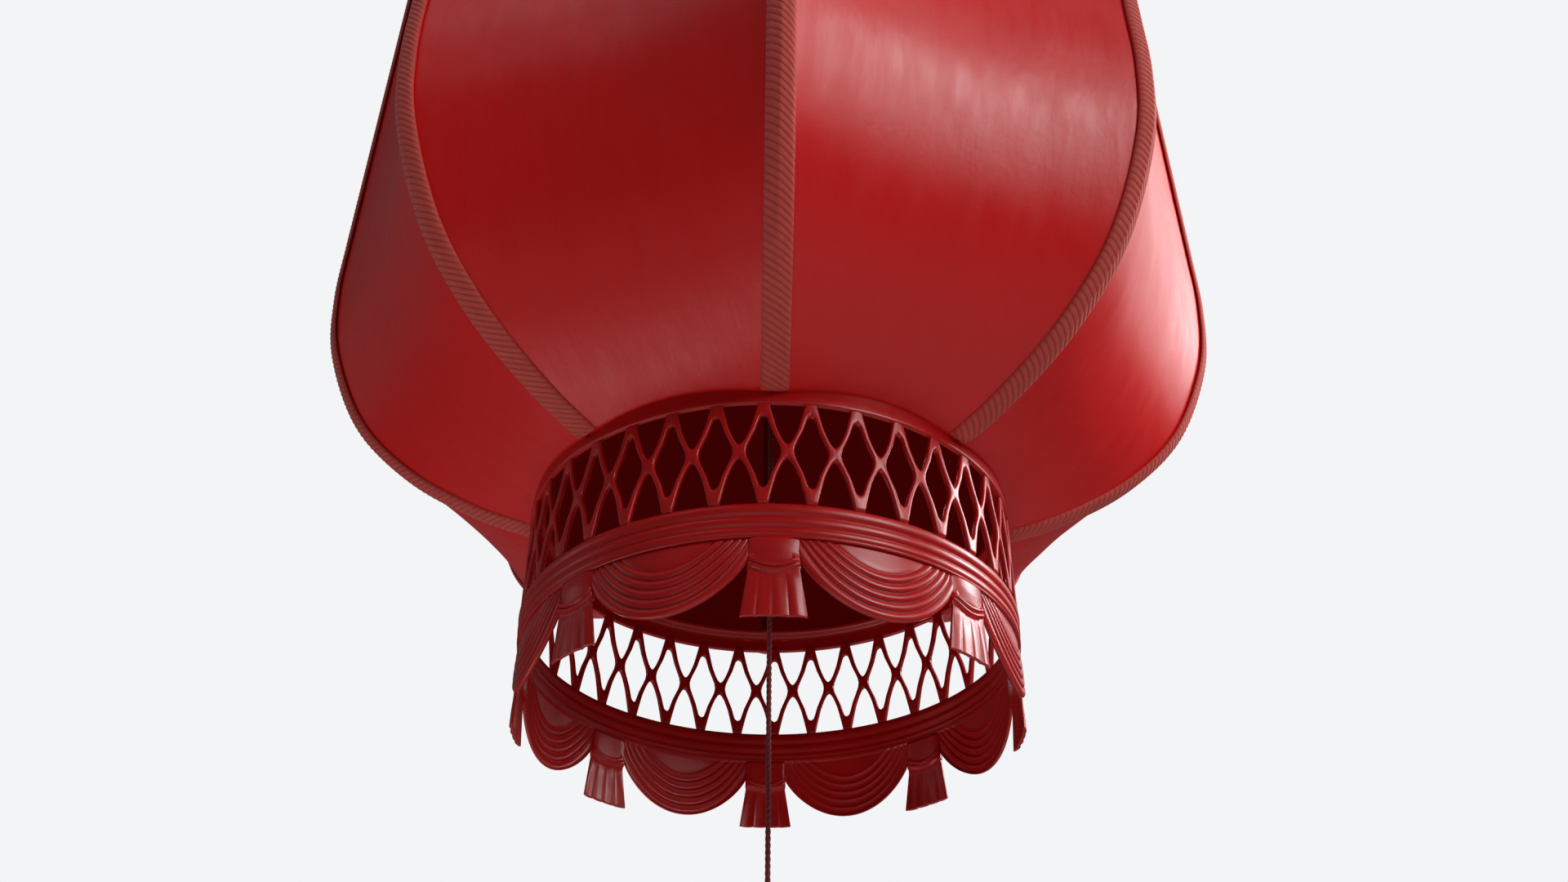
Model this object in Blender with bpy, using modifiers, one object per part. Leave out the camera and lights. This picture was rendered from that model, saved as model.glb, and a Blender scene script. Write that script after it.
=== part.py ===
"""Hanging palace lantern: an eight-ribbed fabric body, a lattice collar with a beaded ring, a valance of swags
and tassels, a lamp inside, and a tassel on a cord through the middle of the collar.

Metres, +Z up. The origin is where the hanging ring bears on its hook. The constants' heights are measured
from the collar datum, the level of the upper points of the lattice's diamonds. Azimuth 0 is towards -Y.
"""

import math

import bmesh
import bpy
from mathutils import Matrix, Vector

GAP = 0.0003  # between pieces that touch

RIB_COUNT = 8
RIB_STEP = 2 * math.pi / RIB_COUNT
BODY_RISE = 0.540  # from the lower collar datum to the upper one, which is its mirror image
# The outline of a rib's seam over the lower shoulder, radius and height. The upper shoulder mirrors it.
SHOULDER = (
    (0.1020, 0.0102),
    (0.1290, 0.0200),
    (0.1600, 0.0380),
    (0.1860, 0.0650),
    (0.2040, 0.1050),
    (0.2095, 0.1400),
    (0.2100, 0.1750),
)
PANEL_THICKNESS = 0.0010
PANEL_SAG = 0.010  # how far the middle of a panel falls inside its chord at the belly
SEAM_HALF_GAP = 0.0009
RIB_RADIUS = 0.0015
RIB_INSET = 0.0040  # the wire's centre below the seam
TRIM_HALF_WIDTH = 0.0053
TRIM_HEIGHT = 0.0024
TRIM_EDGE = 0.0009

COLLAR_RADIUS = 0.100  # middle of the lattice's thickness
NECK_OUTER = 0.1012
NECK_INNER = 0.0965
NECK_BOTTOM = 0.0057
NECK_TOP = 0.0165

LATTICE_POSTS = 36
LATTICE_PHASE = math.radians(-2.3)  # the first post lies this far from the first rib
LATTICE_THICKNESS = 0.0024
LATTICE_TOP = 0.0054
LATTICE_BOTTOM = -0.0382
DIAMOND_BOTTOM = -0.0319
CROSSING = -0.0160
CROSSING_HALF_HEIGHT = 0.0040
CROSSING_HALF_WIDTH = 0.0018
POST_HALF_WIDTH = 0.0024

BEAD_RING_TOP = -0.0385
BEAD_RING_BOTTOM = -0.0518
BEAD_RING_INNER = 0.0982
BEAD_ROOT = 0.1002
BEAD_CREST = 0.1014

VALANCE_TOP = BEAD_RING_BOTTOM - GAP
SWAG_INNER = 0.0975
SWAG_OUTER = 0.1015
SWAG_HALF_ANGLE = math.radians(17.3)
SWAG_END = -0.0600
SWAG_DROP = 0.0195

# Sections of a valance tassel, from the top: height, half width, inner radius, outer radius.
TASSEL_SECTIONS = (
    (VALANCE_TOP, 0.0083, 0.0978, 0.1014),
    (-0.0602, 0.0083, 0.0975, 0.1020),
    (-0.0610, 0.0089, 0.0970, 0.1028),
    (-0.0640, 0.0089, 0.0970, 0.1028),
    (-0.0648, 0.0084, 0.0973, 0.1012),
    (-0.0825, 0.0115, 0.0962, 0.1006),
)

SPIDER_BOTTOM = BODY_RISE - NECK_BOTTOM + GAP
SPIDER_THICKNESS = 0.0025
SPIDER_ARM_WIDTH = 0.012
SPIDER_REACH = 0.100
HUB_RADIUS = 0.020
HUB_HEIGHT = 0.006
ROD_RADIUS = 0.0040
CLEARANCE_BORE = ROD_RADIUS + 0.0004
CAP_RIM_RADIUS = 0.116
CAP_RIM = 0.5435
CAP_CROWN = CAP_RIM + 0.036
CAP_CROWN_RADIUS = 0.026
CAP_THICKNESS = 0.0014
NUT_HEIGHT = 0.007
NUT_RADIUS = 0.009
GLAND_OFFSET = 0.019
GLAND_RADIUS = 0.0032

EYE_RADIUS = 0.0070
EYE_WIRE = 0.0020
RING_RADIUS = 0.0160
RING_WIRE = 0.0022

STEM_RADIUS = 0.0060
SOCKET_DEPTH = 0.0150
HOLDER_TOP = 0.362
HOLDER_BOTTOM = 0.307
HOLDER_RADIUS = 0.020
SOCKET_RADIUS = 0.0140
BULB_CAP_RADIUS = 0.0133
BULB_RADIUS = 0.030
BULB_CENTRE = 0.272
GUARD_TOP = 0.326
GUARD_HUB = 0.2145
GUARD_WIRE = 0.0012
GUARD_WIRES = 4

GUARD_EYE_RADIUS = 0.0060
GUARD_EYE_WIRE = 0.0013
GUARD_EYE = GUARD_HUB - 0.0075
LINK_RADIUS = 0.0060
LINK_WIRE = 0.0010
END_RING_RADIUS = 0.0045
END_RING_WIRE = 0.0010

CORD_RADIUS = 0.00105
CORD_BOTTOM = -0.1450
KNOT_HEIGHT = 0.0150
TASSEL_HEAD_HEIGHT = 0.0150
PENDANT_BOTTOM = -0.2450


def eye_above(bar_centre, bar_wire, eye_radius, eye_wire):
    """The centre height of an eye that hangs with its top arc on a bar."""
    return bar_centre + bar_wire + eye_wire + GAP - eye_radius


LINK_PIVOT = GUARD_EYE - GUARD_EYE_RADIUS
LINK_CENTRE = eye_above(LINK_PIVOT, GUARD_EYE_WIRE, LINK_RADIUS, LINK_WIRE)
PENDANT_PIVOT = LINK_CENTRE - LINK_RADIUS
END_RING_CENTRE = eye_above(PENDANT_PIVOT, LINK_WIRE, END_RING_RADIUS, END_RING_WIRE)
CORD_TOP = END_RING_CENTRE - END_RING_RADIUS - END_RING_WIRE - GAP

NUT_TOP = CAP_CROWN + GAP + NUT_HEIGHT
EYE_CENTRE = NUT_TOP + 0.004 + EYE_RADIUS
SWING_PIVOT = EYE_CENTRE + EYE_RADIUS - EYE_WIRE - RING_WIRE - GAP
RING_CENTRE = SWING_PIVOT + RING_RADIUS
HANG_HEIGHT = RING_CENTRE + RING_RADIUS - RING_WIRE  # the inside of the ring's top


# Scene and materials


def clear_scene():
    for obj in list(bpy.data.objects):
        bpy.data.objects.remove(obj, do_unlink=True)


def collection(name, hidden=False):
    made = bpy.data.collections.new(name)
    bpy.context.scene.collection.children.link(made)
    made.hide_render = hidden
    return made


def material(name, colour, roughness, metallic=0.0):
    made = bpy.data.materials.new(name)
    made.use_nodes = True
    shader = made.node_tree.nodes["Principled BSDF"]
    shader.inputs["Base Color"].default_value = (*colour, 1.0)
    shader.inputs["Roughness"].default_value = roughness
    shader.inputs["Metallic"].default_value = metallic
    return made


clear_scene()
PARTS = collection("palace_lantern")
CUTTERS = collection("cutters", hidden=True)
SATIN = material("panel_satin", (0.36, 0.012, 0.012), 0.45)
ROPE = material("trim_rope", (0.26, 0.06, 0.05), 0.70)
WIRE = material("rib_wire", (0.20, 0.02, 0.02), 0.50, 0.6)
LACQUER = material("red_lacquer", (0.22, 0.006, 0.008), 0.30)
STEEL = material("zinc_steel", (0.55, 0.54, 0.52), 0.35, 1.0)
BRASS = material("brass_fittings", (0.60, 0.42, 0.18), 0.30, 1.0)
HOLDER = material("holder_bakelite", (0.03, 0.028, 0.027), 0.40)
GLASS = material("opal_glass", (0.90, 0.88, 0.84), 0.15)
CORD = material("cord_yarn", (0.10, 0.02, 0.02), 0.80)
SILK = material("tassel_silk", (0.25, 0.012, 0.012), 0.60)
LIFT = -HANG_HEIGHT  # takes a height above the collar datum to the part's own frame


def hinge(name, height, parent=None):
    """An empty on a joint's axis. The pieces that swing about it hang from it."""
    empty = bpy.data.objects.new(name, None)
    empty.empty_display_size = 0.02
    empty.location.z = height + LIFT
    if parent:
        empty.parent = parent
        empty.location.z = height - parent["height"]
    empty["height"] = height
    PARTS.objects.link(empty)
    return empty


LANTERN_SWING = hinge("lantern_swing_axis", SWING_PIVOT)
LINK_SWING = hinge("pendant_link_axis", LINK_PIVOT, LANTERN_SWING)
PENDANT_SWING = hinge("pendant_axis", PENDANT_PIVOT, LINK_SWING)


def add(name, mesh, finish, place=PARTS, on=LANTERN_SWING):
    """The mesh, whose heights are above the collar datum, as an object that hangs on a joint's axis."""
    obj = bpy.data.objects.new(name, mesh)
    obj.parent = on
    obj.location.z = -on["height"] if on else LIFT
    place.objects.link(obj)
    if finish and not mesh.materials:
        mesh.materials.append(finish)
    return obj


def around(name, count, mesh, finish, first=0.0):
    """Copies of one piece, which is modelled facing -Y, turned round the lantern's axis."""
    for i in range(count):
        obj = add(f"{name}_{i + 1}", mesh, finish)
        obj.rotation_euler.z = first + i * 2 * math.pi / count


# Outlines


def smooth_line(points, steps):
    """Catmull-Rom points through a list of 2D or 3D points."""
    ends = [2 * points[0] - points[1], *points, 2 * points[-1] - points[-2]]
    line = []
    for a, b, c, d in zip(ends, ends[1:], ends[2:], ends[3:]):
        for i in range(steps):
            t = i / steps
            curve = 2 * b + (c - a) * t + (2 * a - 5 * b + 4 * c - d) * t * t
            line.append(0.5 * (curve + (3 * b - a - 3 * c + d) * t**3))
    line.append(points[-1])
    return line


def body_line():
    """The seam's outline from neck to neck, closely spaced."""
    lower = smooth_line([Vector(p) for p in SHOULDER], 8)
    return lower + [Vector((p.x, BODY_RISE - p.y)) for p in reversed(lower)]


SEAM = body_line()
SHOULDER_POINTS = len(SEAM) // 2
SHOULDER_STEPS = 8
SEAM_MARKS = [0.0]
for start, end in zip(SEAM, SEAM[1:]):
    SEAM_MARKS.append(SEAM_MARKS[-1] + (end - start).length)
SEAM_LENGTH = SEAM_MARKS[-1]


def seam_at(distance):
    """(point, unit normal away from the axis) on the seam, that far along it."""
    i = 1
    while i < len(SEAM) - 1 and SEAM_MARKS[i] < distance:
        i += 1
    run = SEAM[i] - SEAM[i - 1]
    share = (distance - SEAM_MARKS[i - 1]) / run.length
    tangent = run.normalized()
    return SEAM[i - 1] + run * share, Vector((tangent.y, -tangent.x))


def seam_where(clear):
    """The distance along the seam, from the bottom, at which clear(distance) first holds."""
    low, high = 0.0, SEAM_LENGTH / 2
    if clear(low):
        return low
    for _ in range(30):
        middle = (low + high) / 2
        low, high = (low, middle) if clear(middle) else (middle, high)
    return high


def stations(first):
    """Distances along the seam from first to its mirror image: close over the shoulders, wide at the belly."""
    shoulder = SEAM_MARKS[SHOULDER_POINTS - 1]
    lower = [first] + [shoulder * i / SHOULDER_STEPS for i in range(1, SHOULDER_STEPS + 1)]
    return lower + [SEAM_LENGTH / 2] + [SEAM_LENGTH - distance for distance in reversed(lower)]


def panel_point(distance, across):
    """A point of the panel that faces -Y. across runs from -1 to 1, from seam to seam."""
    seam = seam_at(distance)[0]
    half = RIB_STEP / 2
    belly, neck = SHOULDER[-1][0], SHOULDER[0][0]
    sag = PANEL_SAG * (seam.x - neck) / (belly - neck)
    chord = seam.x * math.sin(half) - SEAM_HALF_GAP
    return Vector((chord * across, -seam.x * math.cos(half) + sag * (1 - across**2), seam.y))


# Shapes


def grid_form(rows, wrap=False):
    """A surface of quads over rows of points, and its vertices by row."""
    form = bmesh.new()
    made = [[form.verts.new(point) for point in row] for row in rows]
    width = len(rows[0])
    for lower, upper in zip(made, made[1:]):
        for i in range(width if wrap else width - 1):
            j = (i + 1) % width
            form.faces.new((lower[i], lower[j], upper[j], upper[i]))
    return form, made


def finish_mesh(form, name, smooth=True):
    bmesh.ops.recalc_face_normals(form, faces=form.faces)
    mesh = bpy.data.meshes.new(name)
    form.to_mesh(mesh)
    form.free()
    if smooth:
        mesh.shade_smooth()
        mesh.set_sharp_from_angle(angle=math.radians(40))
    return mesh


def loft(name, sections):
    """A closed solid through rings of points, flat at both ends."""
    form, made = grid_form(sections, wrap=True)
    form.faces.new(made[0])
    form.faces.new(made[-1])
    return finish_mesh(form, name)


def shell(name, rows, finish):
    """A sheet over rows of points, its faces' normals away from the axis."""
    form, _ = grid_form(rows)
    mesh = bpy.data.meshes.new(name)
    form.to_mesh(mesh)
    form.free()
    mesh.shade_smooth()
    mesh.materials.append(finish)
    return mesh


def thicken(obj, thickness, offset):
    solid = obj.modifiers.new("thickness", "SOLIDIFY")
    solid.thickness = thickness
    solid.offset = offset
    solid.use_even_offset = True


def turned(name, profile, finish, steps=24, closed=False, place=PARTS, on=LANTERN_SWING):
    """A profile of (radius, height) points, turned about the axis. It runs down its outer side."""
    form = bmesh.new()
    points = [form.verts.new((radius, 0, height)) for radius, height in profile]
    for a, b in zip(points, points[1:] + points[:1] if closed else points[1:]):
        form.edges.new((a, b))
    mesh = bpy.data.meshes.new(name)
    form.to_mesh(mesh)
    form.free()
    obj = add(name, mesh, finish, place, on)
    screw = obj.modifiers.new("turn", "SCREW")
    screw.steps = screw.render_steps = steps
    screw.use_merge_vertices = True
    screw.merge_threshold = 0.00001
    screw.use_smooth_shade = True
    return obj


def torus(name, radius, wire, height, axis, finish, segments=20, sides=8, place=PARTS, on=LANTERN_SWING):
    """A ring of round wire, its own axis along X or Y."""
    bpy.ops.mesh.primitive_torus_add(
        major_radius=radius,
        minor_radius=wire,
        major_segments=segments,
        minor_segments=sides,
    )
    obj = bpy.context.object
    turn = Matrix.Rotation(math.pi / 2, 4, "Y" if axis == "X" else "X")
    obj.data.transform(Matrix.Translation((0, 0, height)) @ turn)
    mesh = obj.data
    bpy.data.objects.remove(obj)
    mesh.shade_smooth()
    return add(name, mesh, finish, place, on)


def tube(name, points, radius, finish, sides=1):
    """Round wire along a line of points."""
    curve = bpy.data.curves.new(name, "CURVE")
    curve.dimensions = "3D"
    curve.bevel_depth = radius
    curve.bevel_resolution = sides
    curve.use_fill_caps = True
    spline = curve.splines.new("POLY")
    spline.points.add(len(points) - 1)
    for place, point in zip(spline.points, points):
        place.co = (*point, 1.0)
    curve.materials.append(finish)
    return curve


def to_mesh(obj, name):
    """A mesh copy of an object as it is evaluated, in its own coordinates, with loose caps welded."""
    graph = bpy.context.evaluated_depsgraph_get()
    mesh = bpy.data.meshes.new_from_object(obj.evaluated_get(graph))
    form = bmesh.new()
    form.from_mesh(mesh)
    bmesh.ops.remove_doubles(form, verts=form.verts, dist=0.00001)
    return finish_mesh(form, name)


def block(name, size, centre, place):
    form = bmesh.new()
    bmesh.ops.create_cube(form, size=1.0)
    bmesh.ops.transform(form, verts=form.verts, matrix=Matrix.Diagonal((*size, 1.0)))
    bmesh.ops.translate(form, verts=form.verts, vec=centre)
    return add(name, finish_mesh(form, name, smooth=False), None, place)


def boolean(obj, other, operation):
    step = obj.modifiers.new(operation.lower(), "BOOLEAN")
    step.operation = operation
    step.object = other
    step.solver = "EXACT"
    other.display_type = "WIRE"
    other.hide_render = True


# Body


def build_ribs():
    first = seam_where(lambda d: (seam_at(d)[0] - seam_at(d)[1] * RIB_INSET).x > NECK_OUTER + 0.0021)
    line = []
    for distance in stations(first):
        seam, normal = seam_at(distance)
        inner = seam - normal * RIB_INSET
        line.append((0, -inner.x, inner.y))
    around("rib", RIB_COUNT, tube("rib", line, RIB_RADIUS, WIRE), WIRE)


def build_panels():
    """Fabric between neighbouring ribs, its ends cut round the neck rings."""
    columns = []
    for i in range(5):
        across = -1 + i / 2
        first = seam_where(lambda d, c=across: panel_point(d, c).xy.length > NECK_OUTER + 0.0013)
        columns.append([panel_point(distance, across) for distance in stations(first)])
    mesh = shell("panel", list(zip(*columns)), SATIN)
    for i in range(RIB_COUNT):
        obj = add(f"panel_{i + 1}", mesh, SATIN)
        obj.rotation_euler.z = (i + 0.5) * RIB_STEP
        thicken(obj, PANEL_THICKNESS, -1)


def trim_section(distance):
    """The trim's ring of points where it lies over a seam at azimuth 0, its lower side along both panels."""
    seam, out = seam_at(distance)
    normal = Vector((0, -out.x, out.y))
    ridge = Vector((0, -seam.x, seam.y)) + normal * GAP
    chord = 2 * seam.x * math.sin(RIB_STEP / 2) - 2 * SEAM_HALF_GAP
    across = 1 - 2 * TRIM_HALF_WIDTH / chord
    edge = Matrix.Rotation(-RIB_STEP / 2, 3, "Z") @ panel_point(distance, across)
    left = edge + normal * GAP * 2
    right = Vector((-left.x, left.y, left.z))
    return [
        left,
        ridge,
        right,
        right + normal * TRIM_EDGE,
        ridge + normal * TRIM_HEIGHT,
        left + normal * TRIM_EDGE,
    ]


def build_trims():
    first = seam_where(lambda d: seam_at(d)[0].x > NECK_OUTER + 0.0025)
    sections = [trim_section(distance) for distance in stations(first)]
    around("rib_trim", RIB_COUNT, loft("rib_trim", sections), ROPE)


# Collar and valance


def neck_profile(mirror):
    """The neck ring's section: a band with a rolled lower lip and a bead inside its top."""
    points = (
        (NECK_INNER + 0.0004, NECK_TOP),
        (NECK_OUTER, NECK_TOP),
        (NECK_OUTER, NECK_BOTTOM + 0.0042),
        (NECK_OUTER - 0.0010, NECK_BOTTOM + 0.0022),
        (NECK_OUTER - 0.0006, NECK_BOTTOM + 0.0008),
        (NECK_OUTER - 0.0016, NECK_BOTTOM),
        (NECK_INNER + 0.0006, NECK_BOTTOM),
        (NECK_INNER + 0.0012, NECK_TOP - 0.0045),
        (NECK_INNER, NECK_TOP - 0.0025),
    )
    if mirror:
        return [(radius, BODY_RISE - height) for radius, height in reversed(points)]
    return points


def build_neck_rings():
    turned("lower_neck_ring", neck_profile(False), LACQUER, 36, closed=True)
    turned("upper_neck_ring", neck_profile(True), LACQUER, 36, closed=True)


def build_lattice():
    """A net of posts that fork into strands, which cross half-way between the posts."""
    step = 2 * math.pi / LATTICE_POSTS
    post = POST_HALF_WIDTH / COLLAR_RADIUS
    side = step / 2 - CROSSING_HALF_WIDTH / COLLAR_RADIUS
    upper = CROSSING + CROSSING_HALF_HEIGHT
    lower = CROSSING - CROSSING_HALF_HEIGHT
    outline = {
        "post_top": (post, LATTICE_TOP),
        "diamond_top": (0, 0),
        "crossing_top": (step / 2, upper),
        "diamond_side": (side, CROSSING),
        "crossing_bottom": (step / 2, lower),
        "diamond_bottom": (0, DIAMOND_BOTTOM),
        "post_bottom": (post, LATTICE_BOTTOM),
        "top_middle": (0, LATTICE_TOP),
        "bottom_middle": (0, LATTICE_BOTTOM),
    }
    half_cell = (
        ("top_middle", "diamond_top", "post_top"),
        ("post_top", "diamond_top", "diamond_side", "crossing_top"),
        ("crossing_top", "diamond_side", "crossing_bottom"),
        ("diamond_side", "diamond_bottom", "post_bottom", "crossing_bottom"),
        ("diamond_bottom", "bottom_middle", "post_bottom"),
    )
    form = bmesh.new()
    for k in range(LATTICE_POSTS):
        for hand in (1, -1):
            for names in half_cell:
                ring = []
                for angle, height in (outline[name] for name in names):
                    azimuth = LATTICE_PHASE + k * step + hand * angle
                    place = Matrix.Rotation(azimuth, 3, "Z") @ Vector((0, -COLLAR_RADIUS, 0))
                    ring.append(form.verts.new((place.x, place.y, height)))
                form.faces.new(ring[::-hand])
    bmesh.ops.remove_doubles(form, verts=form.verts, dist=0.00001)
    obj = add("lattice_collar", finish_mesh(form, "lattice_collar", smooth=False), LACQUER)
    thicken(obj, LATTICE_THICKNESS, 0)


def build_beaded_ring():
    """Three half-round beads on a band, the top one the tallest."""
    points = [(BEAD_RING_INNER, BEAD_RING_TOP)]
    height = BEAD_RING_TOP
    for bead in (0.0055, 0.0042, 0.0036):
        points.append((BEAD_ROOT, height))
        points.append((BEAD_CREST, height - 0.3 * bead))
        points.append((BEAD_CREST, height - 0.7 * bead))
        height -= bead
    points.append((BEAD_ROOT, BEAD_RING_BOTTOM))
    points.append((BEAD_RING_INNER, BEAD_RING_BOTTOM))
    turned("beaded_ring", points, LACQUER, 36, closed=True)


def swag_bottom(share):
    """The height of a swag's lower edge, from its middle at 0 to an end at 1."""
    return SWAG_END - SWAG_DROP * (1 - share**2.2) ** 0.75


def swag_section(angle, bottom):
    radii = ((SWAG_INNER, VALANCE_TOP), (SWAG_INNER, bottom), (SWAG_OUTER, bottom), (SWAG_OUTER, VALANCE_TOP))
    return [Vector((r * math.sin(angle), -r * math.cos(angle), z)) for r, z in radii]


def build_swags():
    sections = []
    for i in range(11):
        share = math.sin((i / 10 - 0.5) * math.pi)
        sections.append(swag_section(share * SWAG_HALF_ANGLE, swag_bottom(abs(share))))
    around("swag", RIB_COUNT, loft("swag", sections), LACQUER, RIB_STEP / 2)


def build_valance_tassels():
    sections = [
        [Vector((-half, -inner, z)), Vector((half, -inner, z)), Vector((half, -outer, z)), Vector((-half, -outer, z))]
        for z, half, inner, outer in TASSEL_SECTIONS
    ]
    around("valance_tassel", RIB_COUNT, loft("valance_tassel", sections), LACQUER)


# Top fittings


def build_top_spider():
    """Four flat arms across the upper neck ring, and a hub whose neck carries the cap."""
    bottom = SPIDER_BOTTOM
    middle = bottom + SPIDER_THICKNESS / 2
    arm = block("top_spider", (2 * SPIDER_REACH, SPIDER_ARM_WIDTH, SPIDER_THICKNESS), (0, 0, middle), PARTS)
    arm.data.materials.append(STEEL)
    cross = block("spider_cross", (SPIDER_ARM_WIDTH, 2 * SPIDER_REACH, SPIDER_THICKNESS), (0, 0, middle), CUTTERS)
    low, high = middle - HUB_HEIGHT / 2, middle + HUB_HEIGHT / 2
    neck_top = CAP_CROWN - CAP_THICKNESS - GAP
    hub_profile = (
        (0, neck_top),
        (0.0080, neck_top),
        (0.0080, neck_top - 0.004),
        (0.0065, neck_top - 0.006),
        (0.0065, high + 0.005),
        (0.0100, high),
        (HUB_RADIUS, high),
        (HUB_RADIUS, low),
        (0, low),
    )
    hub = turned("spider_hub", hub_profile, None, 24, place=CUTTERS)
    bore_top = neck_top + 0.01
    bore_profile = ((0, bore_top), (CLEARANCE_BORE, bore_top), (CLEARANCE_BORE, low - 0.01), (0, low - 0.01))
    bore = turned("spider_bore", bore_profile, None, 16, place=CUTTERS)
    boolean(arm, cross, "UNION")
    boolean(arm, hub, "UNION")
    boolean(arm, bore, "DIFFERENCE")
    return low


def build_top_cap():
    """A low dome with a rolled rim, open all round above the neck ring so that the lamp's warm air gets out."""
    rise = CAP_CROWN - CAP_RIM
    slope = []
    for i in range(7):
        share = i / 6
        radius = CAP_CROWN_RADIUS + (CAP_RIM_RADIUS - 0.004 - CAP_CROWN_RADIUS) * share
        slope.append((radius, CAP_CROWN - rise * (0.45 * share + 0.55 * share**2.4)))
    outer = [(CLEARANCE_BORE, CAP_CROWN), *slope]
    rim = [
        (CAP_RIM_RADIUS, CAP_RIM + 0.0002),
        (CAP_RIM_RADIUS + 0.0008, CAP_RIM - 0.0018),
        (CAP_RIM_RADIUS - 0.0006, CAP_RIM - 0.0036),
        (CAP_RIM_RADIUS - 0.0030, CAP_RIM - 0.0034),
    ]
    under = [(radius, height - CAP_THICKNESS) for radius, height in reversed(slope)]
    profile = outer + rim + under + [(CLEARANCE_BORE, CAP_CROWN - CAP_THICKNESS)]
    cap = turned("top_cap", profile, LACQUER, 40, closed=True)
    cable_hole = turned(
        "cable_hole",
        ((0, CAP_CROWN + 0.01), (0.0037, CAP_CROWN + 0.01), (0.0037, CAP_CROWN - 0.01), (0, CAP_CROWN - 0.01)),
        None,
        16,
        place=CUTTERS,
    )
    cable_hole.location.y = GLAND_OFFSET
    boolean(cap, cable_hole, "DIFFERENCE")


def build_cable_gland():
    """The inlet for the lamp's flex: a domed grommet with a bore, standing in the cap's crown."""
    top, under = CAP_CROWN + GAP, CAP_CROWN - CAP_THICKNESS
    profile = (
        (0.0018, top + 0.006),
        (GLAND_RADIUS, top + 0.0055),
        (0.0048, top + 0.0015),
        (0.0052, top),
        (GLAND_RADIUS, top),
        (GLAND_RADIUS, under - 0.003),
        (0.0018, under - 0.003),
    )
    gland = turned("cable_gland", profile, HOLDER, 16, closed=True)
    gland.location.y = GLAND_OFFSET


def build_eye_bolt(rod_bottom):
    """The rod that carries everything, with an eye at its top."""
    top = EYE_CENTRE - EYE_RADIUS + EYE_WIRE / 2
    profile = ((0, top), (0.0026, top), (ROD_RADIUS, top - 0.003), (ROD_RADIUS, rod_bottom), (0, rod_bottom))
    rod = turned("eye_bolt", profile, STEEL, 16)
    eye = torus("eye_loop", EYE_RADIUS, EYE_WIRE, EYE_CENTRE, "Y", STEEL, 24, 8, CUTTERS)
    boolean(rod, eye, "UNION")


def build_hanging(hub_bottom):
    build_eye_bolt(hub_bottom - 0.014)
    nut_profile = (
        (0, NUT_TOP),
        (NUT_RADIUS * 0.8, NUT_TOP),
        (NUT_RADIUS, NUT_TOP - 0.0015),
        (NUT_RADIUS, CAP_CROWN + GAP),
        (0, CAP_CROWN + GAP),
    )
    nut = turned("cap_nut", nut_profile, BRASS, 6)
    low = CAP_CROWN - 0.01
    bore_profile = ((0, NUT_TOP + 0.01), (CLEARANCE_BORE, NUT_TOP + 0.01), (CLEARANCE_BORE, low), (0, low))
    boolean(nut, turned("nut_bore", bore_profile, None, 16, place=CUTTERS), "DIFFERENCE")
    torus("hang_ring", RING_RADIUS, RING_WIRE, RING_CENTRE, "X", STEEL, 28, 8, on=None)


# Lamp


def build_lamp_stem(top):
    """A rod whose socket screws onto the eye bolt under the hub. It carries the lampholder."""
    bottom = HOLDER_TOP + GAP
    profile = (
        (0, top - SOCKET_DEPTH),
        (CLEARANCE_BORE, top - SOCKET_DEPTH),
        (CLEARANCE_BORE, top),
        (0.0085, top),
        (0.0085, top - 0.016),
        (STEM_RADIUS, top - 0.020),
        (STEM_RADIUS, bottom),
        (0, bottom),
    )
    turned("lamp_stem", profile, BRASS, 16)


def build_lampholder():
    """A closed-topped cup that the lamp's cap goes up into."""
    profile = (
        (0, HOLDER_TOP),
        (0.0085, HOLDER_TOP),
        (0.0110, HOLDER_TOP - 0.010),
        (HOLDER_RADIUS - 0.001, HOLDER_TOP - 0.020),
        (HOLDER_RADIUS, HOLDER_TOP - 0.024),
        (HOLDER_RADIUS, HOLDER_BOTTOM),
        (SOCKET_RADIUS, HOLDER_BOTTOM),
        (SOCKET_RADIUS, HOLDER_TOP - 0.024),
        (0, HOLDER_TOP - 0.024),
    )
    turned("lampholder", profile, HOLDER, 20)


def build_bulb():
    cap_top = HOLDER_TOP - 0.027
    neck = HOLDER_BOTTOM - 0.004
    profile = [
        (0, cap_top),
        (0.0060, cap_top),
        (BULB_CAP_RADIUS, cap_top - 0.004),
        (BULB_CAP_RADIUS, neck + 0.003),
        (0.0150, neck),
    ]
    for i in range(7):
        angle = math.radians(35 + 145 * i / 6)
        profile.append((BULB_RADIUS * math.sin(angle), BULB_CENTRE + BULB_RADIUS * math.cos(angle)))
    profile[-1] = (0, BULB_CENTRE - BULB_RADIUS)
    turned("bulb", profile, GLASS, 20)


def guard_line():
    """One wire of the bulb guard, from its clamp ring to its bottom boss, in the plane y = 0."""
    points = [
        Vector((HOLDER_RADIUS + 0.0018, 0, GUARD_TOP)),
        Vector((0.0380, 0, 0.296)),
        Vector((0.0400, 0, 0.262)),
        Vector((0.0250, 0, 0.229)),
        Vector((0.0030, 0, GUARD_HUB)),
    ]
    return smooth_line(points, 3)


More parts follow.
